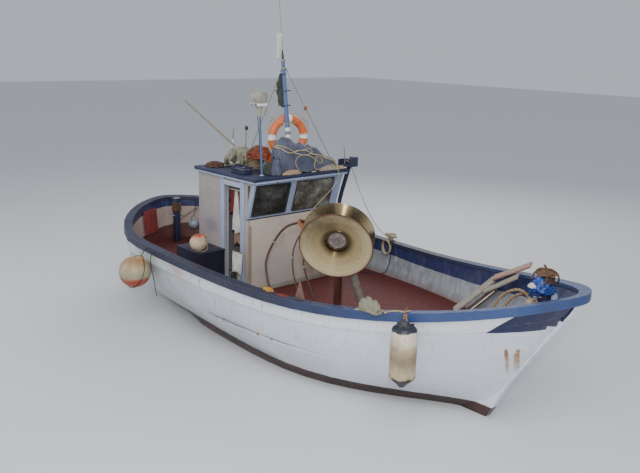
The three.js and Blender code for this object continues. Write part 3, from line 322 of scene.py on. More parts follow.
# %% [markdown]
# ## Bare wood, metals, rubber and plastics
# Weathered softwood boards are grey-brown with open grain 2 to 6 mm apart along their length, so the
# noise is stretched along one axis. The sheave is stainless steel, turned, so its fine lines run round
# the axle; the plain parts are painted or galvanised iron with rust. Plastics fade and chalk.


# %% Wood, metal and plastic
def timber(name, pale, dark, wear, along):
    g = Graph(name)
    stretch = [14.0, 14.0, 14.0]
    stretch[along] = 0.8
    # Grain lines about 5 mm apart: 14 times 14 blotches a metre across the board.
    grain = g.cloudy(14, 0.3, 0.7, 6, stretch)
    tone = g.tint(g.between(grain, pale, dark), g.cloudy(5, 0.4, 0.7, 5), wear, 0.6)
    crack = g.cloudy(22, 0.63, 0.68, 4, stretch)
    tone = g.tint(tone, crack, "#2a211c")
    return g.close(tone, g.ramp(grain, 0, 1, 0.68, 0.9), g.times(grain, crack, "SUBTRACT"), 0.0016)


def metal(name, clean, stained, rough, stain, bumpy=0.0006):
    g = Graph(name)
    haze = g.cloudy(7, 0.36, 0.66, 7, roughness=0.65)
    rust = g.times(haze, stain)
    pit = g.cloudy(60, 0.5, 0.72, 5)
    tone = g.tint(g.between(rust, clean, stained), pit, "#4a2c1b", stain * 0.6)
    shine = g.ramp(haze, 0, 1, rough, min(rough + 0.35, 0.9))
    return g.close(tone, shine, pit, bumpy, metallic=g.ramp(rust, 0, 1, 1.0, 0.35))


def moulded(name, fresh, faded, dirt, rough=0.45, amount=0.5, scale=6.0, bumpy=0.0015):
    g = Graph(name)
    tone = g.between(g.cloudy(scale, 0.35, 0.65, 6), fresh, faded)
    grime = g.cloudy(scale * 2.2, 0.48, 0.7, 7, roughness=0.7)
    tone = g.tint(tone, grime, dirt, amount)
    shine = g.ramp(grime, 0, 1, rough, min(rough + 0.3, 0.95))
    return g.close(tone, shine, g.noise(scale * 14, 4.0), bumpy)


def fibre(name, pale, dark, dirt, thread=700.0):
    """Rope, twine and net: fine yarns under a fuzz, dirty in patches. thread is yarns a metre."""
    g = Graph(name)
    yarn = g.noise(thread / 2, 3.0)
    tone = g.tint(g.between(g.cloudy(9, 0.35, 0.65, 6), pale, dark), yarn, dirt, 0.35)
    tone = g.tint(tone, g.cloudy(4, 0.5, 0.72, 6), dirt, 0.5)
    return g.close(tone, g.ramp(yarn, 0, 1, 0.78, 0.95), yarn, 0.0012)


# %% Cloth, turned steel, glass and vinyl
def woven(name, face, shade, dirt, weave=4.0, rough=0.75, amount=0.4):
    """Cloth and coated tarpaulin. weave is the threads' spacing in mm, coarser than real so that it shows."""
    g = Graph(name)
    wave = {"Vector": g.here, "Scale": 1000 / weave / 6.28, "Distortion": 1.2, "Detail": 2.0, "Detail Scale": 3.0}
    warp, weft = (g.add("TexWave", wave, bands_direction=way)["Fac"] for way in ("Y", "DIAGONAL"))
    tone = g.between(g.cloudy(6, 0.3, 0.7, 6), face, shade)
    tone = g.tint(tone, g.cloudy(3.4, 0.48, 0.75, 7), dirt, amount)
    return g.close(tone, rough, g.times(warp, weft), 0.0007)


def turned_steel():
    """Stainless steel turned on a lathe. Its fine lines run round the axle, which spreads each light into
    a fan of bright spokes, so the highlight is stretched (anisotropic) away from the axle."""
    g = Graph("turned_stainless_steel")
    hub, axle = (1.76, -1.3, 1.956), tuple(Vector((0.595, -0.729, -0.33)).normalized())
    arm = g.vector("SUBTRACT", g.here, hub)
    along = g.vector("DOT_PRODUCT", arm, axle, "Value")
    round_it = g.vector("CROSS_PRODUCT", arm, axle)
    radius = g.vector("LENGTH", round_it, out="Value")
    tangent = g.vector("NORMALIZE", g.vector("CROSS_PRODUCT", axle, round_it))
    lathe = g.add("CombineXYZ", {"X": radius, "Y": along})[0]
    broad = g.cloudy(14, 0.3, 0.7, 3, where=lathe)
    tone = g.between(g.ramp(radius, 0.13, 0.38), "#a08a5e", "#c7b792")
    tone = g.tint(tone, broad, "#8e7a59", 0.6)
    # Painted shade darkens the side that turns up and aft; old net grease darkens the ring round the hub.
    up = g.vector("DOT_PRODUCT", arm, (-0.35, -0.1, 0.93), "Value")
    shade_and_grease = g.times(g.ramp(up, -0.05, 0.22), g.times(g.cloudy(5, 0.15, 0.65, 6), 0.8))
    shade_and_grease = g.times(shade_and_grease, g.times(g.ramp(radius, 0.20, 0.145), 0.75), "MAXIMUM")
    tone = g.tint(tone, shade_and_grease, "#4d3f31")
    spotty = g.times(g.cloudy(26, 0.62, 0.68, 5), g.cloudy(4, 0.45, 0.6, 3))
    tone = g.tint(tone, spotty, "#5e3018", 0.7)
    worn = g.plain(g.times(shade_and_grease, 0.25), g.times(spotty, 0.2), "ADD")
    rough = g.plain(g.ramp(broad, 0, 1, 0.12, 0.2), worn, "ADD")
    return g.close(tone, rough, g.noise(260.0, 3.0, lathe), 0.00012, g.ramp(spotty, 0, 1, 1, 0.4),
                   Anisotropic=0.97, Tangent=tangent)


def window_glass(name, tint, soil, clear):
    """Salt-hazed glass: a thin grey film over a dark, glossy pane that still lets light through."""
    g = Graph(name)
    film = g.cloudy(3.0, 0.42, 0.72, 6, (1, 1, 1.6))
    dust = g.times(g.times(film, soil), g.times(g.cloudy(14, 0.55, 0.75, 5), soil * 0.5), "ADD")
    tone = g.between(dust, tint, "#b9bcb6")
    return g.close(tone, g.ramp(dust, 0, 1, 0.04, 0.55), film, 0.0001, ior=1.52,
                   **{"Transmission Weight": g.ramp(dust, 0, 1, clear, 0.1)})


def zoned(name, base, faded, zones, dirt, at):
    """Vinyl in zones of colour by height above a place. zones: (height, softness, colour above it)."""
    g = Graph(name)
    height = g.split(g.vector("SUBTRACT", g.here, at))["Z"]
    level = g.plain(height, g.ramp(g.noise(16.0, 5.0), 0, 1, -0.035, 0.035), "ADD")
    tone = g.between(g.cloudy(8, 0.35, 0.65, 6), base, faded)
    for edge, soft, colour in zones:
        tone = g.tint(tone, g.ramp(level, edge - soft, edge + soft), colour)
    soil = g.cloudy(7, 0.45, 0.7, 7, (1.6, 1.6, 0.6), 0.7)
    tone = g.tint(tone, soil, dirt, 0.45)
    tone = g.tint(tone, g.cloudy(46, 0.6, 0.66, 4), dirt, 0.4)
    return g.close(tone, g.ramp(soil, 0, 1, 0.42, 0.77), g.noise(110.0, 4.0), 0.0008)


# %% The table of finishes
# Where the floats hang, which their vinyl and their shapes share.
FENDER_AT, QUARTER_AT = Vector((2.678, -1.222, 0.615)), Vector((-1.756, -1.725, 0.858))
LOCKER_BUOY_AT, STERN_BUOY_AT = Vector((-1.062, -1.156, 1.323)), Vector((-3.526, 0.371, 0.914))
LOOKS.update({
    "wood_x": timber("weathered_pine_along_x", "#b9b2a2", "#7d6f60", "#9b9c9a", 0),
    "wood_pink": timber("weathered_redwood_along_x", "#c9a692", "#8b6455", "#a79a90", 0),
    "wood_brown": timber("oiled_oak_along_x", "#8a6248", "#4f3527", "#6f5b4e", 0),
    "wood_z": timber("weathered_pine_along_z", "#a8997f", "#6d5a48", "#8d8a84", 2),
    "steel": turned_steel(),
    "galvanised": metal("galvanised_iron", "#a9a69f", "#7b6a5c", 0.42, 0.5),
    "iron": metal("rusty_painted_iron", "#6b4e46", "#7a3e24", 0.55, 0.8, 0.0012),
    "pink_iron": metal("worn_red_lead_iron", "#9c8478", "#7a4a3a", 0.6, 0.5),
    "black_iron": metal("blackened_iron", "#3a3836", "#5a3a26", 0.5, 0.55, 0.001),
    "bronze": metal("cast_bronze", "#b08a52", "#4e5c48", 0.35, 0.5),
    "cast": metal("grey_cast_iron", "#8b8580", "#6e4a38", 0.5, 0.45, 0.001),
    "orange": moulded("orange_rotomoulded_polyethylene", "#e2622c", "#d97f4e", "#7c5a44", 0.42, 0.35),
    "band": moulded("white_reflective_tape", "#f2f4f2", "#dfe3e2", "#9a9c98", 0.25, 0.25),
    "grey_plastic": moulded("grey_moulded_plastic", "#b4afa4", "#8f8a80", "#5c564c", 0.5, 0.4),
    "black": moulded("black_rubber", "#23211f", "#35312d", "#55504a", 0.5, 0.5, 12.0),
    "hose": moulded("brown_black_hydraulic_hose_rubber", "#311c12", "#46291b", "#6a4c38", 0.5, 0.4, 14.0, 0.0006),
    "rubber_edge": moulded("red_brown_rubber", "#4a2a22", "#5c3528", "#2c211e", 0.6, 0.4, 12.0),
    "blue_vinyl": moulded("blue_grey_inflatable_vinyl", "#a3adb8", "#8a93a0", "#5d636b", 0.22, 0.3),
    "mud_rope": fibre("orange_brown_polypropylene_rope", "#b07a4c", "#8b5c38", "#5c4636"),
    "pale_rope": fibre("cream_polypropylene_rope", "#d2c2a0", "#ad9873", "#7b6b52"),
    "brown_rope": fibre("brown_manila_hawser", "#7d5d44", "#5b4130", "#35291f"),
    "hawser_rope": fibre("weathered_manila_hawser", "#a38a6a", "#7a6149", "#4a3a2b", 500),
    "blue_rope": fibre("bright_blue_polypropylene_rope", "#2f58a8", "#23427f", "#1f2740"),
    "green_rope": fibre("dark_green_polyethylene_rope", "#2f5145", "#22392f", "#1e2622"),
    "dark_rope": fibre("dark_wet_rope", "#3b3430", "#2a2522", "#4a4038"),
    "heap_rope": fibre("dirty_buff_rope", "#948064", "#6f5d48", "#463a2e"),
    "net": fibre("grey_green_nylon_net", "#a4a08c", "#7b7966", "#56523f", 900),
    "buff_net": fibre("buff_grey_nylon_net", "#b0a490", "#8b8070", "#5e5446", 900),
    "brown_net": fibre("brown_nylon_net", "#6b4c3a", "#4b352a", "#2c221d", 900),
    "dark_net": fibre("dark_green_nylon_net", "#4a4f45", "#33382f", "#2a2a24", 900),
    "tarp": woven("grey_blue_coated_tarpaulin", "#555a6e", "#3f4458", "#7d7068", 5.0, 0.55, 0.6),
    "orange_cloth": woven("orange_oilskin", "#c8632f", "#a04a26", "#5e3a2a", 5.0, 0.55),
    "white_cloth": woven("worn_white_canvas", "#dcdad4", "#bdb8ae", "#8d867a", 4.0, 0.85),
    "wrap_cloth": woven("grey_buff_canvas_wrapping", "#948a7c", "#756b5e", "#55493e", 4.0, 0.85),
    "cream_cloth": woven("cream_cotton_rag", "#c9b596", "#a08a6d", "#6e5c48", 4.0, 0.9),
    "rust_cloth": woven("faded_orange_brown_oilskin", "#94421f", "#6f3420", "#4a3124", 5.0, 0.6, 0.6),
    "pink_cloth": woven("brown_pink_blanket", "#a98d7c", "#86695a", "#5e4a3e", 5.0, 0.9),
    "brown_cloth": woven("brown_cotton_rag", "#7b5a45", "#5b4132", "#3a2c24", 4.0, 0.9),
    "yellow_cloth": woven("yellow_coated_glove_cloth", "#d09a2c", "#a87a28", "#6b5a34", 4.0, 0.6),
    "red_cloth": woven("red_cotton_cloth", "#93332d", "#6c2a27", "#4a2a28", 4.0, 0.85),
    "blue_cloth": woven("blue_coated_cloth", "#2b4c9c", "#203a7a", "#1f2740", 4.0, 0.35, 0.3),
    "green_cloth": woven("dark_green_oilskin", "#3b4a3e", "#2b362f", "#4c483c", 5.0, 0.5),
    "glass": window_glass("salt_hazed_window_glass", "#5a625f", 0.35, 0.85),
    "glass_brown": window_glass("dusty_window_glass", "#6b6252", 0.75, 0.6),
    "lamp_glass": window_glass("ribbed_lamp_glass", "#f2f6fa", 0.25, 0.12),
    "fender": zoned("blow_moulded_fender_vinyl", "#0f1413", "#191e1c",
                    [(0.128, 0.008, "#b3a284"), (0.25, 0.05, "#8f7c62"), (0.40, 0.06, "#b9a98a"),
                     (0.47, 0.03, "#ddd2ba"), (0.604, 0.008, "#1d2733"), (0.655, 0.01, "#26303f")],
                    "#5a4a38", FENDER_AT),
    # The quarter float's brown-orange top zone is a painted highlight.
    "quarter_vinyl": zoned("stained_buff_vinyl", "#a8412a", "#8f452e",
                           [(-0.060, 0.02, "#9a9478"), (0.04, 0.06, "#b3a98d"), (0.10, 0.06, "#b08a60")],
                           "#5c5a42", QUARTER_AT),
    "locker_vinyl": zoned("cream_and_red_vinyl", "#cdb9a2", "#bda58c",
                          [(0.06, 0.03, "#c99a80"), (0.092, 0.012, "#b04a34")], "#7a6654", LOCKER_BUOY_AT),
})
print("finishes", len(LOOKS))

# %% [markdown]
# ## Shapes swept along a line
# Hoses, ropes, rods and folded net are all one thing: a closed ring carried along a smooth line. The
# line is a centripetal Catmull-Rom curve through a few points, as in the CAD model. For a three-strand
# rope the ring has three lobes and turns as it goes, which lays real strands in the mesh.


# %% Lines and rings
def through(points, step, closed=False):
    """Points at most step apart on a smooth line through the given ones."""
    p = [np.array(q, float) for q in points]
    if closed:
        p = [p[-1]] + p + p[:2]
    else:
        p = [2 * p[0] - p[1]] + p + [2 * p[-1] - p[-2]]
    out = []
    for a, b, c, d in zip(p, p[1:], p[2:], p[3:]):
        t = np.cumsum([0] + [max(np.linalg.norm(v), 1e-9) ** 0.5 for v in (b - a, c - b, d - c)])
        n = max(2, int(ceil(np.linalg.norm(c - b) / step)))
        for u in np.linspace(t[1], t[2], n, endpoint=False):
            ab = a + (b - a) * (u - t[0]) / (t[1] - t[0])
            bc = b + (c - b) * (u - t[1]) / (t[2] - t[1])
            cd = c + (d - c) * (u - t[2]) / (t[3] - t[2])
            left = ab + (bc - ab) * (u - t[0]) / (t[2] - t[0])
            right = bc + (cd - bc) * (u - t[1]) / (t[3] - t[1])
            out.append(left + (right - left) * (u - t[1]) / (t[2] - t[1]))
    if not closed:
        out.append(p[-2])
    return np.array(out)


def length_of(line):
    return float(np.linalg.norm(np.diff(line, axis=0), axis=1).sum())


def rings(line, ring, closed=False):
    """ring(i, s) gives the section's (u, v) offsets at point i, s metres along. Returns rows of points."""
    ahead = np.roll(line, -1, 0) - np.roll(line, 1, 0)
    if not closed:
        ahead[0], ahead[-1] = line[1] - line[0], line[-1] - line[-2]
    ahead /= np.linalg.norm(ahead, axis=1)[:, None]
    side = np.cross(ahead[0], (0, 0, 1) if abs(ahead[0][2]) < 0.9 else (1, 0, 0))
    rows, s = [], 0.0
    for i, (at, t) in enumerate(zip(line, ahead)):
        side = side - t * (side @ t)
        side /= np.linalg.norm(side)
        over = np.cross(t, side)
        s += np.linalg.norm(at - line[i - 1]) if i else 0.0
        rows.append([at + side * u + over * v for u, v in ring(i, s)])
    return np.array(rows)


def around(count):
    """The angles of that many points of a circle."""
    return [tau * k / count for k in range(count)]


def grid(n, m, place):
    """Rows of points place(u, v), u in n and v in m steps from 0 to 1."""
    return np.array([[place(i / n, j / m) for j in range(m + 1)] for i in range(n + 1)])


# %% Skins and tubes
def skin(rows, closed=False, capped=True, open_ring=False):
    """The faces between rows of points, and the two end caps."""
    n, m = rows.shape[:2]
    faces = []
    for i in range(n if closed else n - 1):
        for j in range(m - 1 if open_ring else m):
            k, l = (i + 1) % n, (j + 1) % m
            faces.append((i * m + j, i * m + l, k * m + l, k * m + j))
    if capped and not closed:
        faces += [tuple(range(m - 1, -1, -1)), tuple((n - 1) * m + j for j in range(m))]
    return rows.reshape(-1, 3), faces


def sheet_of(rows):
    return skin(rows, capped=False, open_ring=True)


def joined(parts):
    """Several (verts, faces) as one."""
    verts, faces, n = [], [], 0
    for v, f in parts:
        verts.extend(v)
        faces.extend(tuple(i + n for i in face) for face in f)
        n += len(v)
    return verts, faces


def tube(points, radius, sides=10, step=0.03, closed=False, straight=False):
    """A round tube. radius is a number or a function of the share of the length."""
    line = np.array(points, float) if straight else through(points, step, closed)
    size = radius if callable(radius) else (lambda part: radius)

    def ring(i, s):
        r = size(i / max(1, len(line) - 1))
        return [(r * cos(a), r * sin(a)) for a in around(sides)]
    return skin(rings(line, ring, closed), closed)


def loop(count, thick, sides, place):
    """A closed ring of thin line through place(a), a being the angle round it."""
    return tube([place(a) for a in around(count)], thick, sides, closed=True)


def laid(points, diameter, step=None):
    """Three-strand rope: a turn of the strands takes 3.2 diameters."""
    line = through(points, step or 0.55 * diameter)
    radii = [diameter / 2 * (0.8 + 0.26 * (k % 3 == 1)) for k in range(9)]

    def ring(i, s):
        turn = tau * s / (3.2 * diameter)
        return [(r * cos(a + turn), r * sin(a + turn)) for r, a in zip(radii, around(9))]
    return skin(rings(line, ring))


# %% Turned shapes and blocks
def turned(profile, at, axis=Z, sides=32):
    """A lathe: profile rows are (radius, distance along the axis)."""
    w = Vector(axis).normalized()
    u = X - w * w.dot(X)
    u.normalize()
    v = w.cross(u)
    rows = [[Vector(at) + w * h + (u * cos(a) + v * sin(a)) * r for a in around(sides)] for r, h in profile]
    return skin(np.array(rows), capped=profile[0][0] > 1e-5)


def block(lo, hi, bevel=0.004, turn=None):
    """A box with rounded edges, as (verts, faces)."""
    b = bmesh.new()
    bmesh.ops.create_cube(b, size=1)
    lo, hi = Vector(lo), Vector(hi)
    for v in b.verts:
        v.co = (lo + hi) / 2 + Vector([c * s for c, s in zip(v.co, hi - lo)])
    bmesh.ops.bevel(b, geom=b.edges[:], offset=bevel, segments=2, affect="EDGES", profile=0.6)
    if turn is not None:
        centre = (lo + hi) / 2
        for v in b.verts:
            v.co = centre + turn @ (v.co - centre)
    out = [v.co.copy() for v in b.verts], [[v.index for v in f.verts] for f in b.faces]
    b.free()
    return out


def box_at(middle, half, bevel, turn=None):
    return block(middle - Vector(half), middle + Vector(half), bevel, turn)


def off(at, *steps):
    """Points given by their steps away from a place."""
    return [at + Vector(step) for step in steps]


def rough_noise(p, scale, seed=0.0, octaves=3):
    """Signed smooth noise at a point."""
    return sum(noise.noise(Vector(p) * scale * 2 ** k + Vector((seed, -seed, seed * 2))) / 2 ** k
               for k in range(octaves))


def ridge(p):
    """Noise folded into sharp ridges."""
    return 1 - 2 * abs(noise.noise(p))


# %% [markdown]
# ## Pieces and cords
# Every piece is a mesh object that rides a body and wears the finish of what it is made of. A rope that
# hangs or lies free is laid along its own line.

# %% Pieces
SLOTS = {look: slot for slot, looks in {
    "rope": "mud_rope pale_rope brown_rope hawser_rope blue_rope green_rope dark_rope heap_rope",
    "net": "net buff_net brown_net dark_net",
    "tarp": "tarp orange_cloth white_cloth wrap_cloth cream_cloth rust_cloth pink_cloth brown_cloth yellow_cloth"
            " red_cloth blue_cloth green_cloth",
    "rubber": "hose black rubber_edge",
    "iron": "galvanised iron pink_iron black_iron cast",
    "stainless": "steel",
    "orange_plastic": "orange locker_vinyl",
    "cream_plastic": "grey_plastic fender quarter_vinyl blue_vinyl",
    "white_paint": "band",
    "light_blue_paint": "sky",
    "dark_blue_paint": "navy gloss_navy",
    "beige_paint": "beige",
    "bare_wood": "wood_x wood_pink wood_brown wood_z",
    "glass": "glass lamp_glass",
}.items() for look in looks.split()}


def piece(name, parts, look, body="boat", smooth=True, hides=()):
    """A mesh object that rides on a body. parts is (verts, faces) or a list of such pairs."""
    verts, faces = joined(parts) if isinstance(parts, list) else parts
    mesh = bpy.data.meshes.new(name)
    mesh.from_pydata([tuple(map(float, v)) for v in verts], [], [tuple(map(int, f)) for f in faces])
    mesh.validate()
    mesh.polygons.foreach_set("use_smooth", [smooth] * len(mesh.polygons))
    mesh.materials.append(LOOKS[look])
    made = bpy.data.objects.new(name, mesh)
    scene.collection.objects.link(made)
    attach(made, body)
    if hides:
        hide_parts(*hides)
    return made


def rope(name, points, size, look="pale_rope", step=None,
         path_step=None):
    """A laid rope along its own line."""
    made = piece(name, laid(points, size, step), look)
    path = through(points, path_step or step or 0.55 * size)


def soft_edges(name, width=0.003):
    """Rounds a CAD node's edges with modifiers, and leaves its mesh as it is."""
    node = NODES[name]
    weld = node.modifiers.new("weld", "WELD")
    weld.merge_threshold = 0.00005
    flat = node.modifiers.new("flat", "DECIMATE")
    flat.decimate_type = "DISSOLVE"
    flat.angle_limit = radians(0.6)
    bevel = node.modifiers.new("edge", "BEVEL")
    bevel.width = width
    bevel.segments = 2
    bevel.limit_method = "ANGLE"
    bevel.angle_limit = radians(32)
    bevel.use_clamp_overlap = True


# %% [markdown]
# ## Smooth shading for the CAD nodes
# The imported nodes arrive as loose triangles. A small geometry-node group welds them and shades them
# smooth except across edges sharper than 28 degrees, so that the hull curves and the boxes stay crisp.


# %% Shading group
def make_shading():
    group = bpy.data.node_groups.new("weld_and_shade", "GeometryNodeTree")
    for way in ("INPUT", "OUTPUT"):
        group.interface.new_socket("Geometry", in_out=way, socket_type="NodeSocketGeometry")
    given = group.nodes.new("NodeGroupInput").outputs[0]
    bare = add(group, "GeometryNodeRemoveAttribute", {"Geometry": given, "Name": "custom_normal"}).outputs[0]
    weld = add(group, "GeometryNodeMergeByDistance", {"Geometry": bare, "Distance": 0.00005}).outputs[0]
    smooth = add(group, "GeometryNodeSetShadeSmooth", {"Geometry": weld, "Shade Smooth": True},
                 domain="FACE").outputs[0]
    bend = add(group, "GeometryNodeInputMeshEdgeAngle").outputs["Unsigned Angle"]
    soft = add(group, "FunctionNodeCompare", {0: bend, 1: radians(28)}, operation="LESS_THAN").outputs[0]
    edges = add(group, "GeometryNodeSetShadeSmooth", {"Geometry": smooth, "Shade Smooth": soft},
                domain="EDGE").outputs[0]
    add(group, "NodeGroupOutput", {"Geometry": edges})
    return group


SHADING = make_shading()

# %% [markdown]
# ## The three hydraulic hoses
# They leave the ports on the back of the hauler's motor, hang in loose curves, and go down inside the
# rail into three sockets of the boat's fixed pipe. Each is a fixed length of reinforced rubber hose:
# 28, 22 and 18 mm outside. The routes are the CAD model's own, in millimetres, and a crimped steel
# ferrule stands at each end.

# %% Hoses
HOSES = {
    "hose_thick": (0.014, [(1622.7, -1131.8, 2078.8), (1575.3, -1073.7, 2105.1), (1480, -1030, 2118),
                           (1330, -1015, 2112), (1180, -1040, 2075), (930, -1100, 1970), (725, -1150, 1870),
                           (580, -1220, 1645), (570, -1300, 1450), (630, -1330, 1300), (700, -1345, 1165),
                           (738, -1357, 1060), (740, -1358, 985)]),
    "hose_thin": (0.009, [(1583.5, -1150.2, 2048.6), (1548, -1106.7, 2068.3), (1475, -1055, 2055),
                          (1370, -1030, 1990), (1250, -1030, 1900), (1010, -1080, 1900), (945, -1190, 1700),
                          (1020, -1270, 1465), (1120, -1295, 1280), (1190, -1300, 1140), (1212, -1302, 1050),
                          (1213, -1302, 985)]),
    "hose_low": (0.011, [(1648.6, -1097.1, 2048.6), (1613.1, -1053.6, 2068.3), (1550, -1010, 2050),
                         (1470, -1005, 1960), (1400, -1035, 1850), (1300, -1080, 1760), (1160, -1130, 1700),
                         (1120, -1200, 1600), (1215, -1245, 1440), (1330, -1262, 1290), (1388, -1268, 1150),
                         (1407, -1270, 1050), (1408, -1270, 985)]),
}
for name, (radius, route) in HOSES.items():
    line = through([[c * MM for c in p] for p in route], 0.02)
    hose = piece(name + "_rubber", tube(line, radius, 12, straight=True), "hose", hides=[name])
    # Each ferrule is thickest where it is crimped, and tapers to its lip.
    ferrules = [tube(along, lambda part: radius + (0.0065 if 0.08 < part < 0.7 else 0.004), 12, straight=True)
                for along in (line[0:4], line[:-5:-1])]
    # The clamps that hold the hose along its way.
    for share in (0.35, 0.62):
        i = int(share * (len(line) - 1))
        ferrules.append(tube(line[i - 1:i + 1], radius + 0.004, 12, straight=True))
    fittings = piece(name + "_fittings", ferrules, "galvanised")
    length = length_of(line)
    print(name, "length", round(length, 3))

# %% [markdown]
# ## Finishes for the CAD nodes
# The nodes whose shape is right stay, and get their real finish here. Small edge bevels catch the light
# as brushed paint on rounded wood does.

# %% Dress the frame
DRESS = {
    # look: nodes, each with its edge radius in mm where its edges are rounded
    "hull": "hull keel_and_stem:6 sheer_strake:6 rub_starboard:6 rub_port:6",
    "blue": "rail",
    "deck": "deck engine_hatch:5 bow_platform:4",
    "cream": "wall_starboard:3 wall_port:3 wall_aft:3",
    "front": "wall_front:3",
    "sky": "windscreen_frame:3 door:3",
    "navy": "roof:6 gallows_post bow_bitt:8 stern_bitt:8",
    "glass": "pane_starboard pane_side pane_aft",
    "glass_brown": "pane_port",
    "wood_x": "sole:3",
    "wood_z": "console:5 gaff",
    "wood_brown": "steering_wheel",
    "cast": "engine:10",
    "locker": "locker:4 locker_lid:4",
    "bronze": "propeller",
    "iron": "rudder:4 hauler_pipe hauler_column:4",
    "mast": "mast lamp_pole",
    "grey_plastic": "aerial",
    "black_iron": "hauler_motor:3",
    "steel": "sheave",
    "galvanised": "stay_aft stay_port",
}
for look, nodes in DRESS.items():
    for entry in nodes.split():
        name, _, edge = entry.partition(":")
        for holder in NODES[name].material_slots:
            holder.material = LOOKS[look]
        if edge:
            soft_edges(name, int(edge) * MM)
        NODES[name].modifiers.new("shade", "NODES").node_group = SHADING
print("dressed", sum(len(nodes.split()) for nodes in DRESS.values()))

# %% [markdown]
# ## The net hauler
# Two pressed cones bolted back to back make the V that grips a net. The outer rim carries a rubber
# edging, the recess holds a bolted hub plate, and rivets hold the cone to its backing. Everything
# placed here uses the axle's own three directions, so it turns truly about the axle.

# %% Sheave trim
AXLE_AT = Vector((1.760, -1.300, 1.956))
AXLE = Vector((0.596683, -0.731062, -0.330933)).normalized()
LEVEL = Vector((0.774714, 0.632312, 0.0)).normalized()
RISE = AXLE.cross(LEVEL).normalized()
RIM, HALF_WIDTH, RECESS = 0.382, 0.1185, 0.130


def on_axle(radius, turn, out):
    """The point radius from the axle, turned from level, and out along it."""
    return AXLE_AT + AXLE * out + (LEVEL * cos(turn) + RISE * sin(turn)) * radius


def hoop(radius, out, thick):
    return loop(72, thick, 8, lambda a: on_axle(radius, a, out))


piece("sheave_edging", hoop(RIM - 0.001, HALF_WIDTH - 0.003, 0.0075), "rubber_edge", "sheave")
piece("sheave_back_bead", hoop(RIM - 0.002, -HALF_WIDTH + 0.003, 0.005), "steel", "sheave")
piece("hub_bead", hoop(RECESS + 0.004, 0.0275, 0.005), "steel", "sheave")
plate = [turned(profile, AXLE_AT, AXLE, sides) for sides, profile in (
    (40, [(0.096, -0.0115), (0.096, 0.006), (0.092, 0.0095), (0.054, 0.010), (0.05, 0.012), (0.0, 0.012)]),
    (24, [(0.02, 0.012), (0.019, 0.036), (0.014, 0.044), (0.0, 0.046)]),
    (6, [(0.033, 0.011), (0.033, 0.025), (0.03, 0.028), (0.0, 0.028)]))]
piece("hub_plate", plate, "cast", "sheave", smooth=False)
bolts = []
for k in range(6):
    spot = on_axle(0.074, pi * (k + 0.4) / 3, 0.0)
    bolts += [turned([(0.0095, 0.009), (0.0095, 0.0165), (0.0075, 0.0185), (0.0, 0.0185)], spot, AXLE, 6),
              turned([(0.013, 0.009), (0.0125, 0.0115), (0.0, 0.0115)], spot, AXLE, 16)]

# %% Rivets
# They stand round the outer cone, whose surface falls from the rim to the recess.
RIVETS_AT, RECESS_FACE = 0.312, 0.026
share = (RIVETS_AT - RECESS) / (RIM - RECESS)
for k in range(16):
    spot = on_axle(RIVETS_AT, pi * k / 8, RECESS_FACE + (HALF_WIDTH - RECESS_FACE) * share)
    bolts.append(turned([(0.0065, -0.003), (0.005, 0.0025), (0.0, 0.004)], spot, AXLE, 10))
piece("sheave_bolts", bolts, "galvanised", "sheave", smooth=False)
print("sheave trim on", len(bolts), "bolts and rivets")

# %% [markdown]
# ## Motor, brackets and pipe clips
# The hydraulic motor is a cast block with a bolted end cover and hexagonal port unions. Its legs stand
# on flanges with nuts, and clips hold the fixed pipe to the inside of the bulwark.

# %% Motor and brackets
unions = [turned([(0.0, -0.009), (0.008, -0.009), (0.009, -0.007), (0.009, 0.001)],
                 on_axle(0.056, pi * (k + 0.5) / 2, -0.215), AXLE, 6) for k in range(4)]
for radius, route in HOSES.values():
    a, b = Vector(route[0]) * MM, Vector(route[1]) * MM
    unions.append(turned([(radius + 0.0125, -0.03), (radius + 0.0125, -0.012), (radius + 0.009, -0.010),
                          (radius + 0.009, 0.0)], a, b - a, 6))
piece("motor_unions", unions, "galvanised", smooth=False)
PIPE = [Vector((x, y, 0.945)) for x, y in ((0.740, -1.358), (0.960, -1.330), (1.213, -1.302), (1.408, -1.270))]
clips = []
for a, b, share in zip(PIPE, PIPE[1:], (0.45, 0.5, 0.5)):
    spot = a.lerp(b, share)
    along = (b - a).normalized()
    out = Vector((along.y, -along.x, 0)).normalized()
    turn = Matrix((along, out, Z)).transposed()
    clips += [tube([spot - along * 0.016, spot + along * 0.016], 0.0175, 12, straight=True),
              box_at(spot + out * 0.026, (0.02, 0.012, 0.034), 0.003, turn)]
piece("pipe_clips", clips, "galvanised")
DECK_AT_FEET = 0.688
nuts = []
for x, y, size in ((1.300, -0.830, 0.045), (1.580, -0.540, 0.034)):
    for k in range(4):
        a = pi * (k + 0.5) / 2
        spot = (x + size * cos(a), y + size * sin(a), DECK_AT_FEET)
        nuts += [turned([(r, 0.0), (r, high), (0.0, high)], spot, Z, sides)
                 for r, high, sides in ((0.011, 0.009, 6), (0.005, 0.018, 8))]
piece("flange_nuts", nuts, "galvanised", smooth=False)

# %% Lever and valve on the hauler's column
valve_at = Vector((1.335, -0.875, 1.30))
knob_at = valve_at + Vector((0.052, -0.052, 0.228))
valve = [box_at(valve_at, (0.035, 0.03, 0.05), 0.006),
         tube(off(valve_at, (0, 0, 0.045), (0.02, -0.02, 0.12), (0.05, -0.05, 0.22)), 0.006, 8),
         turned([(0.0, -0.016), (0.012, -0.011), (0.016, 0.0), (0.012, 0.011), (0.0, 0.016)], knob_at, Z, 14)]
piece("hauler_valve", valve, "iron")

# %% [markdown]
# ## The lifebuoy
# A foam-filled ring with four bands of reflective tape round it, and a grab rope that hangs in loops
# from the bands. The ring is a turned section, a little flatter than round, with the moulding seam on
# its outer edge; the bands are wrapped a millimetre and a half over it.

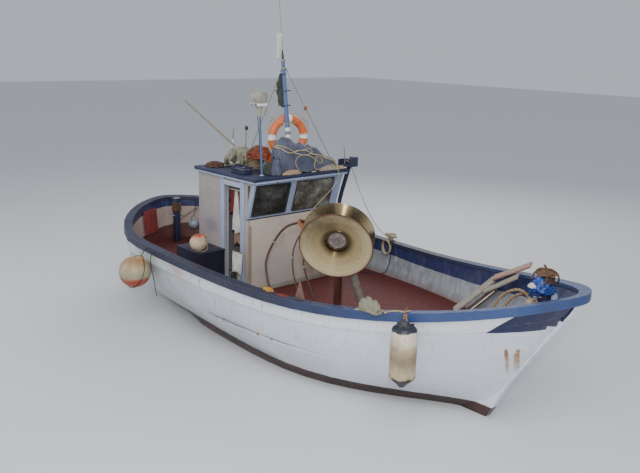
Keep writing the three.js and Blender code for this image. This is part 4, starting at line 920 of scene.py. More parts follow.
# %% Lifebuoy
RING_AT, RING_TURN = Vector((-0.744, 0.096, 2.688)), -0.19
RING_FACE = Vector((cos(RING_TURN), sin(RING_TURN), 0))
RING_SIDE = Vector((-sin(RING_TURN), cos(RING_TURN), 0))
RING_R, TUBE_R, FLAT = 0.243, 0.057, 0.93


def on_ring(turn, out=0.0, face=0.0):
    """A point of the ring's plane: turn from the side direction, out from the core line, face towards the bow."""
    return RING_AT + (RING_SIDE * cos(turn) + Z * sin(turn)) * (RING_R + out) + RING_FACE * face


def ring_part(a, b, swell, steps=72):
    rows = []
    for i in range(steps + 1):
        turn = a + (b - a) * i / steps
        row = []
        for t in around(24):
            seam = 0.0022 * exp(-((t if t < pi else t - 2 * pi) / 0.09) ** 2)
            row.append(on_ring(turn, (TUBE_R + swell + seam) * cos(t), (TUBE_R * FLAT + swell) * sin(t)))
        rows.append(row)
    return np.array(rows)


piece("lifebuoy_ring", skin(ring_part(0, 2 * pi, 0.0)[:-1], closed=True), "orange", hides=["lifebuoy"])
BANDS = (0.02, pi / 2, pi - 0.02, -pi / 2)
piece("lifebuoy_bands", [skin(ring_part(turn - 0.16, turn + 0.16, 0.0016, 6)) for turn in BANDS], "band")
grab = []
for k in range(4):
    a, b = BANDS[0] + k * pi / 2 + 0.14, BANDS[0] + (k + 1) * pi / 2 - 0.14
    points = []
    for i in range(9):
        share = i / 8
        hang = 0.008 + 0.030 * sin(pi * share) + 0.006 * sin(3 * pi * share + k)
        points.append(on_ring(a + (b - a) * share, TUBE_R + hang, 0.012 * sin(2 * pi * share + k)))
    grab.append(laid(points, 0.012))
for turn in BANDS:
    for d in (-0.145, 0.145):
        grab.append(loop(20, 0.0042, 7, lambda t: on_ring(turn + d, (TUBE_R + 0.005) * cos(t),
                                                          (TUBE_R * FLAT + 0.005) * sin(t))))
piece("lifebuoy_grab_rope", grab, "pale_rope")

# %% [markdown]
# ## The tarpaulin on the roof
# A stiff coated sheet thrown over gear on the front of the roof. It has no flat parts: broad humps from
# what lies under it, sharp pinched folds that run down from the crest, and a hem that ripples on the
# roof. It is one sheet, moved by layered ridged noise, and pushed aside where it meets the mast.

# %% Tarpaulin
ROOF = 2.2506
# mm: y of the section, x of its middle, half depth, height
SECTIONS = np.array([
    (-335, -500, 50, 250), (-305, -500, 125, 430), (-200, -498, 165, 500), (-40, -496, 172, 440), (140, -490, 172, 384),
    (330, -480, 165, 340), (440, -468, 155, 272), (570, -452, 130, 195), (640, -440, 100, 150),
    (690, -435, 45, 80)], float)
MAST_FOOT, MAST_HEAD, MAST_CLEAR = Vector((-0.565, 0, ROOF)), Vector((-0.760, 0, 3.720)), 0.047


def tarp_at(u, v):
    """u runs from starboard to port, v from the front hem over the crest to the back hem; both 0 to 1."""
    y = (-0.335 + 1.025 * u) * 1000
    x, half, high = (np.interp(y, SECTIONS[:, 0], SECTIONS[:, i]) for i in (1, 2, 3))
    a = pi * v
    p = Vector((x + half * cos(a), y, 0)) * MM
    p.z = high * MM * sin(a) ** 0.8
    fold = ridge(Vector((u * 5.0, v * 2.2, 1.7)) + Vector((0.6 * sin(v * 5), 0, 0)))
    fold2 = ridge(Vector((u * 13.0, v * 4.0 + u * 3, 7.3)))
    lump = noise.noise(Vector((u * 3.1, v * 3.0, 4.2)))
    deep = min(1.0, 4 * v * (1 - v) + 0.25)
    push = -0.012 - 0.030 * (1 - fold) * deep + 0.012 * fold2 * deep + 0.02 * lump * deep
    p += Vector((cos(a) * 0.8, 0, sin(a))) * push
    p.z = max(p.z, 0.004 + 0.012 * (1 + sin(u * 40 + v * 9)) * (1 - deep)) + ROOF
    core = MAST_FOOT.lerp(MAST_HEAD, (p.z - ROOF) / (MAST_HEAD.z - ROOF))
    away = Vector((p.x - core.x, p.y - core.y, 0))
    if away.length < MAST_CLEAR and v < 0.98:
        p += (away.normalized() if away.length > 1e-6 else X) * (MAST_CLEAR - away.length)
    return p


TARP_U, TARP_V = 110, 64
rows = grid(TARP_U, TARP_V, tarp_at)
tarp = piece("roof_tarpaulin", sheet_of(rows), "tarp", hides=["roof_tarp"])

# %% [markdown]
# ## Nets and ropes heaped on the roof
# A folded net is a bundle of soft rolls. Each roll here is a fat tube laid over a low mound, lumpy at
# the scale of the bunched mesh, with head rope and cork floats along it. A rope heap is one long line
# wound over a mound, turn over turn.


# %% Heaps
def mound(at, halves, seed, shrink=0.86, levels=12):
    """The dark heart of a heap, which closes the gaps between its turns."""
    rows = []
    for i in range(levels + 1):
        up = (pi / 2) * i / levels
        row = []
        for a in around(28):
            swell = 1 + 0.10 * rough_noise((cos(a) * 1.3, sin(a) * 1.3, up), 1.6, seed)
            r = shrink * swell * cos(up) if i < levels else 0.01
            row.append((at[0] + halves[0] * r * cos(a), at[1] + halves[1] * r * sin(a),
                        at[2] + 0.003 + halves[2] * shrink * sin(up) * swell))
        rows.append(row)
    return skin(np.array(rows)[::-1])


def over_mound(at, halves, turn, level, lift):
    """A point on a mound's surface: turn in radians, level 0 at the foot and 1 at the top."""
    up = pi / 2 * max(0.0, min(level, 1.0))
    way = (cos(up) * cos(turn), cos(up) * sin(turn), sin(up))
    return Vector([c + (half + lift) * w for c, half, w in zip(at, halves, way)])


def rolls(at, halves, count, thick, seed):
    """Fat lumpy rolls of bunched net that cross a mound from foot to foot."""
    rng = np.random.default_rng(seed)
    parts = []
    for k in range(count):
        a = pi * k / count + rng.uniform(-0.25, 0.25)
        b = a + pi + rng.uniform(-0.7, 0.7)
        top = rng.uniform(0.55, 1.0)
        points = []
        for i in range(9):
            s = i / 8
            p = over_mound(at, halves, a if s < 0.5 else b, max(0.0, sin(pi * s)) * top, -thick * 0.9)
            p.x += rng.uniform(-1, 1) * thick * 0.35
            p.y += rng.uniform(-1, 1) * thick * 0.35
            p.z = max(p.z, at[2] + thick * 0.8)
            points.append(p)
        line = through(points, thick * 0.28)
        n, phase = len(line), rng.uniform(0, 6)

        def ring(i, s):
            r = thick * (0.8 + 0.2 * sin(phase + s * 31)) * min(1.0, 0.35 + 3 * min(i, n - 1 - i) / n)
            out = []
            for q in around(12):
                x, y = 4 * cos(q), 4 * sin(q)
                out.append((r * (1 + 0.22 * noise.noise((x + phase, y, s * 26))) * cos(q),
                            r * (1 + 0.22 * noise.noise((x, y + phase, s * 26))) * sin(q)))
            return out
        parts.append(skin(rings(line, ring)))
    return parts


# %% Wound ropes
def wound(at, halves, turns, thick, seed, per_turn=8, low=0.03):
    """One long line wound over a mound."""
    rng = np.random.default_rng(seed)
    points = []
    for i in range(turns * per_turn):
        turn = tau * i / per_turn
        part = i / (turns * per_turn)
        level = low + (1 - low) * (0.5 - 0.5 * cos(tau * (part * 2.6 + 0.1 * sin(turn * 0.37)))) * 0.8
        lift = -0.035 + 0.035 * part + rng.uniform(-0.004, 0.004)
        p = over_mound(at, halves, turn + 0.3 * sin(i * 0.7), level + rng.uniform(-0.05, 0.05), lift)
        p.z = max(p.z, at[2] + thick * 0.6)
        points.append(p)
    return points


NET_AT, NET_HALVES = (-1.360, -0.230, ROOF), (0.225, 0.293, 0.255)
# The heap's heart wears darker net than its rolls: painted shade in the gaps between them.
piece("net_heap_heart", mound(NET_AT, NET_HALVES, 3.0), "dark_net", hides=["net_heap"])
piece("net_heap_rolls", rolls(NET_AT, NET_HALVES, 13, 0.042, 11), "net")
head_rope = wound(NET_AT, (0.215, 0.28, 0.25), 4, 0.010, 5)
piece("net_head_rope", laid(head_rope, 0.010), "pale_rope")
CORK = [(0.008, -0.028), (0.016, -0.022), (0.019, 0.0), (0.016, 0.022), (0.008, 0.028)]
line = through(head_rope, 0.03)
corks = [turned(CORK, line[i], line[i + 1] - line[i - 1], 12) for i in range(8, len(line) - 4, 9)]
piece("net_corks", corks, "grey_plastic")
CORK_AT, CORK_HALVES = (-0.520, -0.440, ROOF), (0.116, 0.075, 0.170)
piece("cork_net_heart", mound(CORK_AT, CORK_HALVES, 7.0), "dark_net", hides=["cork_net"])
piece("cork_net_rolls", rolls(CORK_AT, CORK_HALVES, 8, 0.022, 23), "dark_net")
piece("cork_net_rope", laid(wound(CORK_AT, (0.112, 0.072, 0.165), 3, 0.006, 9), 0.007), "pale_rope")
ROPE_AT, ROPE_HALVES = (-0.990, -0.270, ROOF), (0.125, 0.155, 0.305)
piece("rope_heap_heart", mound(ROPE_AT, ROPE_HALVES, 5.0, 0.8), "heap_rope", hides=["rope_heap"])
rope_line = wound(ROPE_AT, ROPE_HALVES, 22, 0.014, 31, 9)
piece("rope_heap_turns", laid(rope_line, 0.015), "heap_rope")
print("rope in the heap", round(length_of(through(rope_line, 0.05)), 1), "m")

# %% [markdown]
# ## Ropes that lie on things
# A rope thrown over a tarpaulin or a rail touches it all along. The points given are rough, so each is
# moved to the nearest place on the surface below and lifted by the rope's own radius.


# %% Laying on a surface
def surface(*objects):
    """A search tree of the shown meshes of these objects."""
    graph = bpy.context.evaluated_depsgraph_get()
    parts = []
    for obj in objects:
        seen = obj.evaluated_get(graph)
        mesh = seen.to_mesh()
        world = obj.matrix_world
        parts.append(([world @ v.co for v in mesh.vertices], [tuple(p.vertices) for p in mesh.polygons]))
        seen.to_mesh_clear()
    return BVHTree.FromPolygons(*joined(parts))


def rest_on(tree, points, lift, core=None):
    """core is a place inside what the rope lies on, where the side of the surface is in doubt."""
    out = []
    for p in through(points, 0.03):
        p = Vector(p)
        place, normal = tree.find_nearest(p)[:2]
        if (normal.dot(place - core) < 0) if core else (normal.dot(p - place) < 0 and (p - place).length > 0.02):
            normal = -normal
        out.append(p.lerp(place + normal * lift, 1.0))
    return out


def hank(at, across, along, count, thick, spread, seed, squeeze=0.35):
    """A coil of line gathered at its middle: loops of nearly one size, a little out of step."""
    rng = np.random.default_rng(seed)
    across, along = Vector(across), Vector(along)
    deep = across.cross(along).normalized()
    points = []
    for i in range(count * 10):
        a = tau * i / 10
        wide = 1 - squeeze * abs(sin(a)) ** 6 + rng.uniform(-0.08, 0.08)
        points.append(Vector(at) + across * (cos(a) * wide) + along * (sin(a) + rng.uniform(-0.05, 0.05))
                      + deep * (spread * (i / (count * 10) - 0.5) + rng.uniform(-0.3, 0.3) * thick))
    return points


roof_top = surface(NODES["roof"], tarp)

# %% [markdown]
# ## Cloths
# Rags, jackets and small tarpaulins are sheets. A crumpled one is laid as a dome of ridged folds over
# what carries it. A hanging one is gathered at the top and falls in pleats that widen downwards.

# %% Cloth shapes
CLOTH_THICK = 0.0015


def cloth(name, parts, look):
    made = piece(name, parts, look)
    made.modifiers.new("cloth", "SOLIDIFY").thickness = CLOTH_THICK
    return made


def crumpled(name, at, halves, look, seed, count=46, fold=0.22):
    """A cloth dropped in a heap: a closed-in dome, open underneath."""
    rows = []
    for i in range(count // 2 + 1):
        up = pi / 2 * (1 - i / (count / 2))
        row = []
        for a in around(count):
            d = Vector((cos(a) * cos(up), sin(a) * cos(up), sin(up)))
            large = ridge(d * 2.1 + Vector((seed, seed * 0.7, 0)))
            small = ridge(d * 5.3 + Vector((seed, 3.0, seed)))
            swell = 1 - fold + fold * large + 0.3 * fold * small
            p = Vector(at) + Vector([half * c * swell for half, c in zip(halves, d)])
            p.z = max(p.z, at[2] + 0.003 + 0.004 * sin(5 * a + seed))
            row.append(p)
        rows.append(row)
    verts, faces = skin(np.array(rows), capped=False)
    made = cloth(name, (verts, [(a, d, c, b) for a, b, c, d in faces]), look)
    # Its hidden folds take up a tenth of the cloth each way.
    size = 1.1 * sum(p.area for p in made.data.polygons) ** 0.5
    print(name, "cut", round(size, 2), "m square")


def hanging(name, top_left, top_right, drop, look, seed, pleats=4, depth=0.018, taper=0.0):
    """A cloth hung by its upper edge, pleated below it."""
    a, b = Vector(top_left), Vector(top_right)
    side = b - a
    out = Vector((side.y, -side.x, 0)).normalized()

    def place(v, u):
        p = a + side * (0.5 + (u - 0.5) * (1 - taper * v))
        wave = sin(tau * pleats * u + seed + 0.8 * sin(3 * v + seed))
        p += out * (depth * (0.35 + 0.65 * v) * wave + 0.5 * depth * noise.noise(Vector((u * 4, v * 5, seed))))
        p.z -= drop * v * (1 + 0.05 * sin(5 * u + seed))
        return p

    made = cloth(name, sheet_of(grid(36, 40, place)), look)


# %% [markdown]
# ## Small gear on the roof
# Jackets, net piles, a slatted box with cork floats, a rag on the front edge, and rope thrown over the
# tarpaulin.

# %% Roof gear
crumpled("orange_jacket", (-0.800, -0.115, ROOF), (0.13, 0.12, 0.22), "orange_cloth", 2.0)
crumpled("orange_cover", (-0.955, -0.225, ROOF + 0.150), (0.170, 0.195, 0.165), "rust_cloth", 27.0, fold=0.30)
crumpled("brown_net_pile", (-1.44, -0.62, ROOF), (0.15, 0.13, 0.07), "brown_net", 31.0, fold=0.3)
crumpled("grey_bundle", (-1.20, 0.13, ROOF), (0.16, 0.17, 0.13), "white_cloth", 6.0)
crumpled("front_rag", (-0.330, -0.170, ROOF), (0.036, 0.165, 0.060), "cream_cloth", 1.0, count=36, fold=0.34)
crumpled("front_net", (-0.350, 0.500, ROOF), (0.055, 0.250, 0.085), "buff_net", 33.0, count=40, fold=0.34)
crumpled("hem_bundle", (-0.405, -0.375, ROOF), (0.080, 0.085, 0.230), "tarp", 35.0, count=36, fold=0.34)
LO, HI = Vector((-0.930, -0.720, ROOF + 0.001)), Vector((-0.640, -0.575, ROOF + 0.098))
SLAT, SLAT_HIGH, POST = 0.010, 0.024, 0.012
slats = []
for k in range(3):
    z = LO.z + 0.004 + 0.033 * k
    ends = (LO.y + SLAT + 0.0005, HI.y - SLAT - 0.0005)
    for x0, x1, y0, y1 in ((LO.x, HI.x, LO.y, LO.y + SLAT), (LO.x, HI.x, HI.y - SLAT, HI.y),
                           (LO.x, LO.x + SLAT, *ends), (HI.x - SLAT, HI.x, *ends)):
        slats.append(block((x0, y0, z), (x1, y1, z + SLAT_HIGH), 0.002))
for x in (LO.x + 0.0105, HI.x - 0.0225):
    for y in (LO.y + 0.0105, HI.y - 0.0225):
        slats.append(block((x, y, LO.z), (x + POST, y + POST, HI.z), 0.001))
slats.append(block((LO.x + 0.011, LO.y + 0.011, LO.z + 0.004), (HI.x - 0.011, HI.y - 0.011, LO.z + 0.014), 0.001))
piece("float_box", slats, "navy")
rng = np.random.default_rng(4)
floats = []
for k in range(9):
    spot = Vector((LO.x + 0.05 + 0.095 * (k % 3), LO.y + 0.035 + 0.037 * (k // 3), LO.z + 0.045 + 0.012 * (k % 2)))
    way = Vector((rng.uniform(-1, 1), rng.uniform(-1, 1), rng.uniform(-0.3, 0.3)))
    floats.append(turned([(0.006, -0.026), (0.014, -0.020), (0.0175, 0.0), (0.014, 0.020), (0.006, 0.026)],
                         spot, way, 14))
piece("box_floats", floats, "grey_plastic")
UNDER_TARP = Vector((-0.56, 0.18, 2.20))
TARP_ROPES = {
    "tarp_rope_long": (0.020, [
        (-0.52, -0.33, 2.61), (-0.473, -0.313, 2.601), (-0.425, -0.267, 2.577), (-0.387, -0.213, 2.538),
        (-0.370, -0.141, 2.528), (-0.366, -0.059, 2.549), (-0.369, 0.031, 2.543), (-0.379, 0.128, 2.528),
        (-0.364, 0.205, 2.490), (-0.364, 0.296, 2.470), (-0.375, 0.375, 2.450), (-0.360, 0.460, 2.410),
        (-0.345, 0.540, 2.385), (-0.335, 0.620, 2.330), (-0.320, 0.690, 2.280), (-0.360, 0.755, 2.262)]),
    "tarp_rope_loop": (0.016, [
        (-0.500, -0.300, 2.620), (-0.433, -0.261, 2.615), (-0.386, -0.181, 2.582), (-0.359, -0.082, 2.519),
        (-0.354, 0.019, 2.492), (-0.345, 0.135, 2.471), (-0.346, 0.264, 2.393), (-0.339, 0.332, 2.355),
        (-0.350, 0.375, 2.390), (-0.366, 0.345, 2.440), (-0.358, 0.280, 2.440), (-0.345, 0.240, 2.400),
        (-0.338, 0.210, 2.350), (-0.330, 0.230, 2.300), (-0.325, 0.300, 2.275)]),
    "tarp_rope_short": (0.014, [
        (-0.366, -0.030, 2.545), (-0.381, 0.058, 2.553), (-0.400, 0.130, 2.545), (-0.419, 0.179, 2.560),
        (-0.385, 0.215, 2.515), (-0.352, 0.150, 2.490), (-0.348, 0.080, 2.490), (-0.352, 0.010, 2.485),
        (-0.345, -0.060, 2.470), (-0.335, -0.100, 2.420), (-0.325, -0.090, 2.350), (-0.318, -0.050, 2.290)]),
}
for name, (size, points) in TARP_ROPES.items():
    rope(name, rest_on(roof_top, points, size / 2, UNDER_TARP), size)
edge_line = [(-0.315 + 0.012 * sin(i * 1.9), 0.16 + 0.045 * i, ROOF + 0.012 + 0.006 * (i % 2)) for i in range(13)]
rope("edge_rope", rest_on(roof_top, edge_line, 0.009), 0.018)
crumpled("edge_rag", (-0.345, 0.735, ROOF), (0.045, 0.06, 0.045), "cream_cloth", 3.0, count=30)

# %% Sticks and their foot weights
sticks = [tube([(-1.490, -0.300, 2.470), (-1.470, -0.300, 2.600), (-1.442, -0.300, 2.774)], 0.008, 8),
          tube([(-1.186, -0.292, 2.520), (-1.170, -0.295, 2.660), (-1.153, -0.300, 2.788)], 0.007, 8)]
piece("marker_sticks", sticks, "wood_z")
piece("stick_sleeve", tube([(-1.4895, -0.300, 2.478), (-1.4725, -0.300, 2.600)], 0.0105, 10), "band")
stick_float = turned([(0.008, -0.03), (0.022, -0.02), (0.027, 0.0), (0.021, 0.02), (0.007, 0.03)],
                     (-1.153, -0.300, 2.788), (0.1, 0, 1), 14)
piece("stick_float", stick_float, "rubber_edge")

# %% [markdown]
# ## Floodlight and mast fittings
# The floodlight is a die-cast housing with cooling ribs, a ribbed glass below, and a forked bracket.
# The mast carries bands with eyes for the stays and strips of white tape.

# %% Floodlight
lamp = [block((-0.556, -0.696, 3.196), (-0.384, -0.544, 3.328), 0.022)]
for k in range(6):
    x = -0.538 + 0.027 * k
    lamp.append(block((x, -0.698, 3.215), (x + 0.008, -0.542, 3.3295), 0.0015))
lamp.append(block((-0.5595, -0.6995, 3.186), (-0.3805, -0.5405, 3.2), 0.004))
piece("floodlight_housing", lamp, "grey_plastic", hides=["floodlight"])
glass = [block((-0.5575, -0.6975, 3.150), (-0.3825, -0.5425, 3.1855), 0.006)]
for k in range(1, 10):
    x = -0.552 + 0.0165 * k
    glass.append(tube([(x, -0.698, 3.168), (x, -0.542, 3.168)], 0.017, 8, straight=True))
piece("floodlight_glass", glass, "lamp_glass")
FORK_BOLT = [(0.014, 0.0), (0.014, 0.009), (0.006, 0.011)]
fork = [turned([(0.0165, -0.135), (0.022, -0.120), (0.036, -0.03), (0.046, -0.002), (0.046, 0.0005)],
               (-0.470, -0.611, 3.1415), Z, 20)]
fork += [block((-0.489, y0, 3.1425), (-0.451, y1, top), 0.002) for y0, y1, top in
         ((-0.7065, -0.5335, 3.1495), (-0.7065, -0.7005, 3.25), (-0.5395, -0.5335, 3.25))]
fork += [turned(FORK_BOLT, (-0.470, y, 3.235), (0, way, 0), 6) for y, way in ((-0.7065, -1), (-0.5335, 1))]
piece("floodlight_fork", fork, "grey_plastic")
flex = through([(-0.4745, -0.622, 3.146), (-0.476, -0.628, 3.10), (-0.488, -0.622, 3.0), (-0.486, -0.600, 2.8),
                (-0.487, -0.588, 2.55), (-0.488, -0.578, 2.33), (-0.50, -0.572, 2.262), (-0.53, -0.565, 2.2555)], 0.012)
made = piece("floodlight_flex", tube(flex, 0.004, 8, straight=True), "black")


# %% Mast fittings
def on_mast(share, out=0.0, turn=0.0):
    return MAST_FOOT.lerp(MAST_HEAD, share) + Vector((cos(turn), sin(turn), 0)) * out


def mast_size(share):
    return 0.034 - 0.010 * share


def collar(share, high, inner, outer, lip):
    """A band round the mast, its edges sloped over a lip."""
    r = mast_size(share)
    half = high / 2
    return turned([(r + inner, -half), (r + outer, -half + lip), (r + outer, half - lip), (r + inner, half)],
                  on_mast(share), MAST_HEAD - MAST_FOOT, 24)


bands = [collar(share, high, 0.001, 0.006, 0.003) for share, high in
         ((0.02, 0.05), (0.34, 0.03), (0.915, 0.035), (0.985, 0.03))]
for turn in (2.9, 1.3):
    eye = on_mast(0.915, mast_size(0.9) + 0.013, turn)
    bands.append(loop(12, 0.003, 6, lambda a: eye + Vector((0.009 * cos(a), 0.003, 0.012 * sin(a)))))
piece("mast_bands", bands, "galvanised")
tape = [collar(share, high, 0.0008, 0.0016, 0.001) for share, high in ((0.30, 0.085), (0.375, 0.05))]
piece("mast_tape", tape, "band")
foot = [turned([(0.075, 0.001), (0.075, 0.006), (0.06, 0.009), (0.042, 0.014), (0.038, 0.03)], MAST_FOOT, Z, 32)]
foot += [turned([(0.008, 0.0), (0.008, 0.006), (0.0, 0.007)],
                (MAST_FOOT.x + 0.062 * cos(a), 0.062 * sin(a), ROOF + 0.006), Z, 6) for a in (0.4, 1.97, 3.54, 5.11)]
foot.append(turned([(0.034, 0.001), (0.034, 0.005), (0.018, 0.008), (0.0145, 0.02)], (-0.470, -0.560, ROOF), Z, 24))
piece("mast_step", foot, "sky")
spring = turned([(0.013, 0.0), (0.015, 0.01), (0.015, 0.05), (0.010, 0.075), (0.0095, 0.11)], (-0.760, 0, 3.722),
                (-0.117, 0, 0.993), 16)
piece("aerial_base", spring, "black")

# %% Rag and net bag
# A torn rag is tied to the foot of the aerial, and a net bag is gathered on the mast below it.
hanging("aerial_rag", (-0.777, -0.001, 4.07), (-0.870, -0.02, 4.05), 0.33, "white_cloth", 4.0, 2, 0.014, 0.35)
KNOT_AT = Vector((-0.7785, 0, 4.060))
knot = [loop(14, 0.004, 6, lambda a: KNOT_AT + Vector((0.0115 * cos(a), 0.0115 * sin(a), 0.004 * sin(2 * a)))),
        tube([(-0.788, -0.003, 4.062), (-0.80, -0.008, 4.066), (-0.815, -0.011, 4.060)], 0.005, 6)]
piece("aerial_lashing", knot, "pale_rope")
bag_line = through([on_mast(*place) for place in ((0.875, 0.045, 3.0), (0.80, 0.070, 3.1), (0.70, 0.085, 3.1),
                                                  (0.62, 0.083, 3.1), (0.575, 0.06, 3.05))], 0.012)


def bag_ring(i, s):
    part = i / (len(bag_line) - 1)
    r = (0.014 + 0.046 * sin(pi * min(1, part * 0.95)) ** 0.7) * (1 + 0.10 * sin(s * 55))
    lumps = [[1 + 0.25 * noise.noise((3 * cos(a), 3 * sin(a) + shift, s * 14)) for a in around(16)] for shift in (0, 5)]
    return [(r * u * cos(a), r * v * sin(a)) for a, u, v in zip(around(16), *lumps)]


piece("mast_net", skin(rings(bag_line, bag_ring)), "dark_net")
ties = [loop(18, 0.004, 6, lambda a: on_mast(share, mast_size(share) + 0.004 + extra * (0.5 + 0.5 * cos(a - 3.05)), a))
        for share, extra in ((0.868, 0.030), (0.72, 0.130), (0.59, 0.09))]
piece("mast_net_ties", ties, "green_rope")

# %% Feet of the stays
# Turnbuckles and deck plates stand at the stays' feet, and a rope knot sits on the port stay.
AFT_STAY = (Vector((-0.780, 0.004, 3.600)), Vector((-1.630, 0.060, ROOF)))
PORT_STAY = (Vector((-0.744, 0.036, 3.600)), Vector((-0.480, 0.745, ROOF)))
rig = []
for top, low in (AFT_STAY, PORT_STAY):
    way = (top - low).normalized()
    rig += [tube([low + way * s for s in (0.05, 0.075, 0.15, 0.175)],
                 lambda part: 0.006 + 0.005 * (0.15 < part < 0.85), 10, 0.01),
            turned([(0.024, 0.0005), (0.024, 0.004), (0.010, 0.006), (0.008, 0.022)], low, Z, 18),
            tube([top - way * 0.05, top - way * 0.012], 0.0075, 8, straight=True)]
piece("stay_fittings", rig, "galvanised")
spot = PORT_STAY[0].lerp(PORT_STAY[1], 0.39)
knot = [loop(12, 0.006, 7, lambda a: spot + Vector((0.016 * cos(a) * (1 - 0.03 * j), 0.016 * sin(a),
                                                    0.011 * (j - 1.5) + 0.006 * sin(a)))) for j in range(4)]
piece("stay_knot", knot, "mud_rope")
print("roof gear done")

# %% [markdown]
# ## Boards in the bow
# Loose boards lean in the bow. Each is its own object that lies along its local X, so that the grain of
# its material runs along it whatever way it leans. Ends are sawn a little off square and splintered.

# %% Boards
SAG, LEAN_OVER = 0.004, 0.55
BOARD_SECTION = [(-1, -0.82), (-0.97, -1), (0.97, -1), (1, -0.82), (1, 0.82), (0.97, 1), (0.3, 1), (-0.4, 1),
                 (-0.97, 1), (-1, 0.82)]


def plank(name, low, high, wide, thick, look, seed, hides=(), chip=0.012, roll=LEAN_OVER):
    a, b = Vector(low), Vector(high)
    along = (b - a).normalized()
    side = Matrix.Rotation(roll, 3, along) @ Z.cross(along).normalized()
    length = (b - a).length
    cols = 44
    rows = []
    for i in range(cols + 1):
        s = i / cols
        row = []
        for j, (u, v) in enumerate(BOARD_SECTION):
            nick = noise.noise(Vector((s * 26, j * 0.9, seed))) * 0.0016
            end = chip * (noise.noise(Vector((j * 1.7, seed, 2.0))) - 0.3) * (1 if i == cols else -1 if i == 0 else 0)
            row.append((min(max(length * s + end, 0), length), u * (wide / 2 - 0.0008) + nick,
                        v * thick / 2 - SAG * sin(pi * s) * 0.4 + nick))
        rows.append(row)
    made = piece(name, skin(np.array(rows)), look)
    made.parent = None
    made.matrix_world = Matrix.Translation(a) @ Matrix((along, side, along.cross(side))).transposed().to_4x4()
    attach(made, "boat")
    if hides:
        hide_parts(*hides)


plank("board_long", (1.642, 0.904, 0.684), (2.066, 1.116, 1.166), 0.100, 0.030, "wood_x", 1.0, ["plank_long"])
plank("board_upper", (2.085, 1.070, 1.195), (2.603, 1.048, 1.483), 0.090, 0.028, "wood_pink", 2.0, ["plank_upper"])
plank("board_under", (2.02, 0.985, 1.02), (2.50, 0.965, 1.335), 0.095, 0.024, "wood_x", 8.0)
plank("board_brown", (1.770, 1.000, 0.682), (2.138, 1.090, 1.075), 0.090, 0.026, "wood_brown", 3.0, ["plank_brown"])
plank("white_batten", (1.815, 0.900, 0.678), (2.150, 1.010, 1.050), 0.034, 0.012, "band", 5.0, chip=0.004, roll=0.0)

# %% [markdown]
# ## The bow: hawser, bitt and foredeck gear
# A thick brown hawser lies on the bow platform in stiff standing loops. The bitt's head wears turns of
# brown rope, then bright blue rope, and a hank of cream line hangs at its foot beside a small float.

# %% Hawser
HAWSER, HAWSER_STEP = [
    (3.02, 0.30, 1.218), (3.10, 0.10, 1.219), (3.13, -0.12, 1.222), (3.08, -0.26, 1.235), (3.06, -0.30, 1.33),
    (3.09, -0.27, 1.46), (3.16, -0.21, 1.545), (3.25, -0.16, 1.575), (3.33, -0.14, 1.54), (3.365, -0.13, 1.44),
    (3.35, -0.14, 1.33), (3.29, -0.18, 1.245), (3.20, -0.24, 1.219), (3.09, -0.20, 1.25), (3.05, -0.10, 1.33),
    (3.09, 0.00, 1.43), (3.18, 0.07, 1.47), (3.27, 0.10, 1.42), (3.30, 0.12, 1.32), (3.26, 0.16, 1.235),
    (3.17, 0.22, 1.218), (3.07, 0.20, 1.252), (3.02, 0.06, 1.252), (3.04, -0.10, 1.254), (3.06, -0.36, 1.218),
    (3.16, -0.40, 1.218), (3.22, -0.32, 1.219)], 0.014
rope("bow_hawser", HAWSER, 0.036, "hawser_rope", step=HAWSER_STEP)
line = through(HAWSER, HAWSER_STEP)
BAND = [(0.0205, -0.012), (0.0215, 0.0), (0.0205, 0.012)]
piece("hawser_whippings", [turned(BAND, line[i], line[i + 1] - line[i], 14) for i in (1, -2)], "dark_rope")

# %% Bow bitt
BITT = Vector((3.445, 0.0, 0.0))


def wrap(name, low, count, size, reach, look, jitter, seed):
    """Turns of rope round the square bitt, its corners rounded."""
    rng = np.random.default_rng(seed)
    points = []
    for i in range(count):
        z, out = low + i * size * 0.94, reach + rng.uniform(-jitter, jitter) + 0.5 * size
        for k in range(16):
            a = tau * k / 16 + 0.2
            r = out / max(abs(cos(a)), abs(sin(a))) ** 0.72
            points.append(BITT + Vector((cos(a) * r, sin(a) * r, z + size * 0.45 * k / 16 + 0.002 * sin(3 * a + i))))
    piece(name, laid(points, size), look)


wrap("bitt_brown_turns", 1.672, 3, 0.026, 0.054, "brown_rope", 0.004, 3)
wrap("bitt_blue_turns", 1.560, 5, 0.020, 0.054, "blue_rope", 0.005, 4)
wrap("bitt_blue_outer", 1.575, 3, 0.020, 0.078, "blue_rope", 0.006, 6)
blue_bundle = hank((3.405, -0.115, 1.590), (0.035, 0.045, 0.0), (0.01, -0.005, 0.062), 6, 0.016, 0.05, 8)
piece("bitt_blue_bundle", laid(blue_bundle, 0.016), "blue_rope")
piece("bitt_cap", [block((3.391, -0.054, 1.7705), (3.499, 0.054, 1.782), 0.004),
                   turned([(0.006, 0.0), (0.006, 0.012), (0.0, 0.013)], (3.42, 0.03, 1.782), Z, 8)], "navy")
over_head = off(BITT, (-0.10, -0.105, 1.70), (-0.085, -0.085, 1.77), (-0.05, -0.06, 1.818), (0.0, -0.03, 1.822),
                (0.05, 0.0, 1.818), (0.09, 0.05, 1.775), (0.095, 0.08, 1.71), (0.06, 0.115, 1.66), (0.0, 0.125, 1.68),
                (-0.05, 0.11, 1.75), (-0.055, 0.06, 1.815), (-0.03, 0.0, 1.843), (0.03, -0.05, 1.820),
                (0.06, -0.09, 1.785), (0.07, -0.115, 1.72), (0.05, -0.13, 1.68))
piece("bitt_head_rope", laid(over_head, 0.022), "brown_rope")
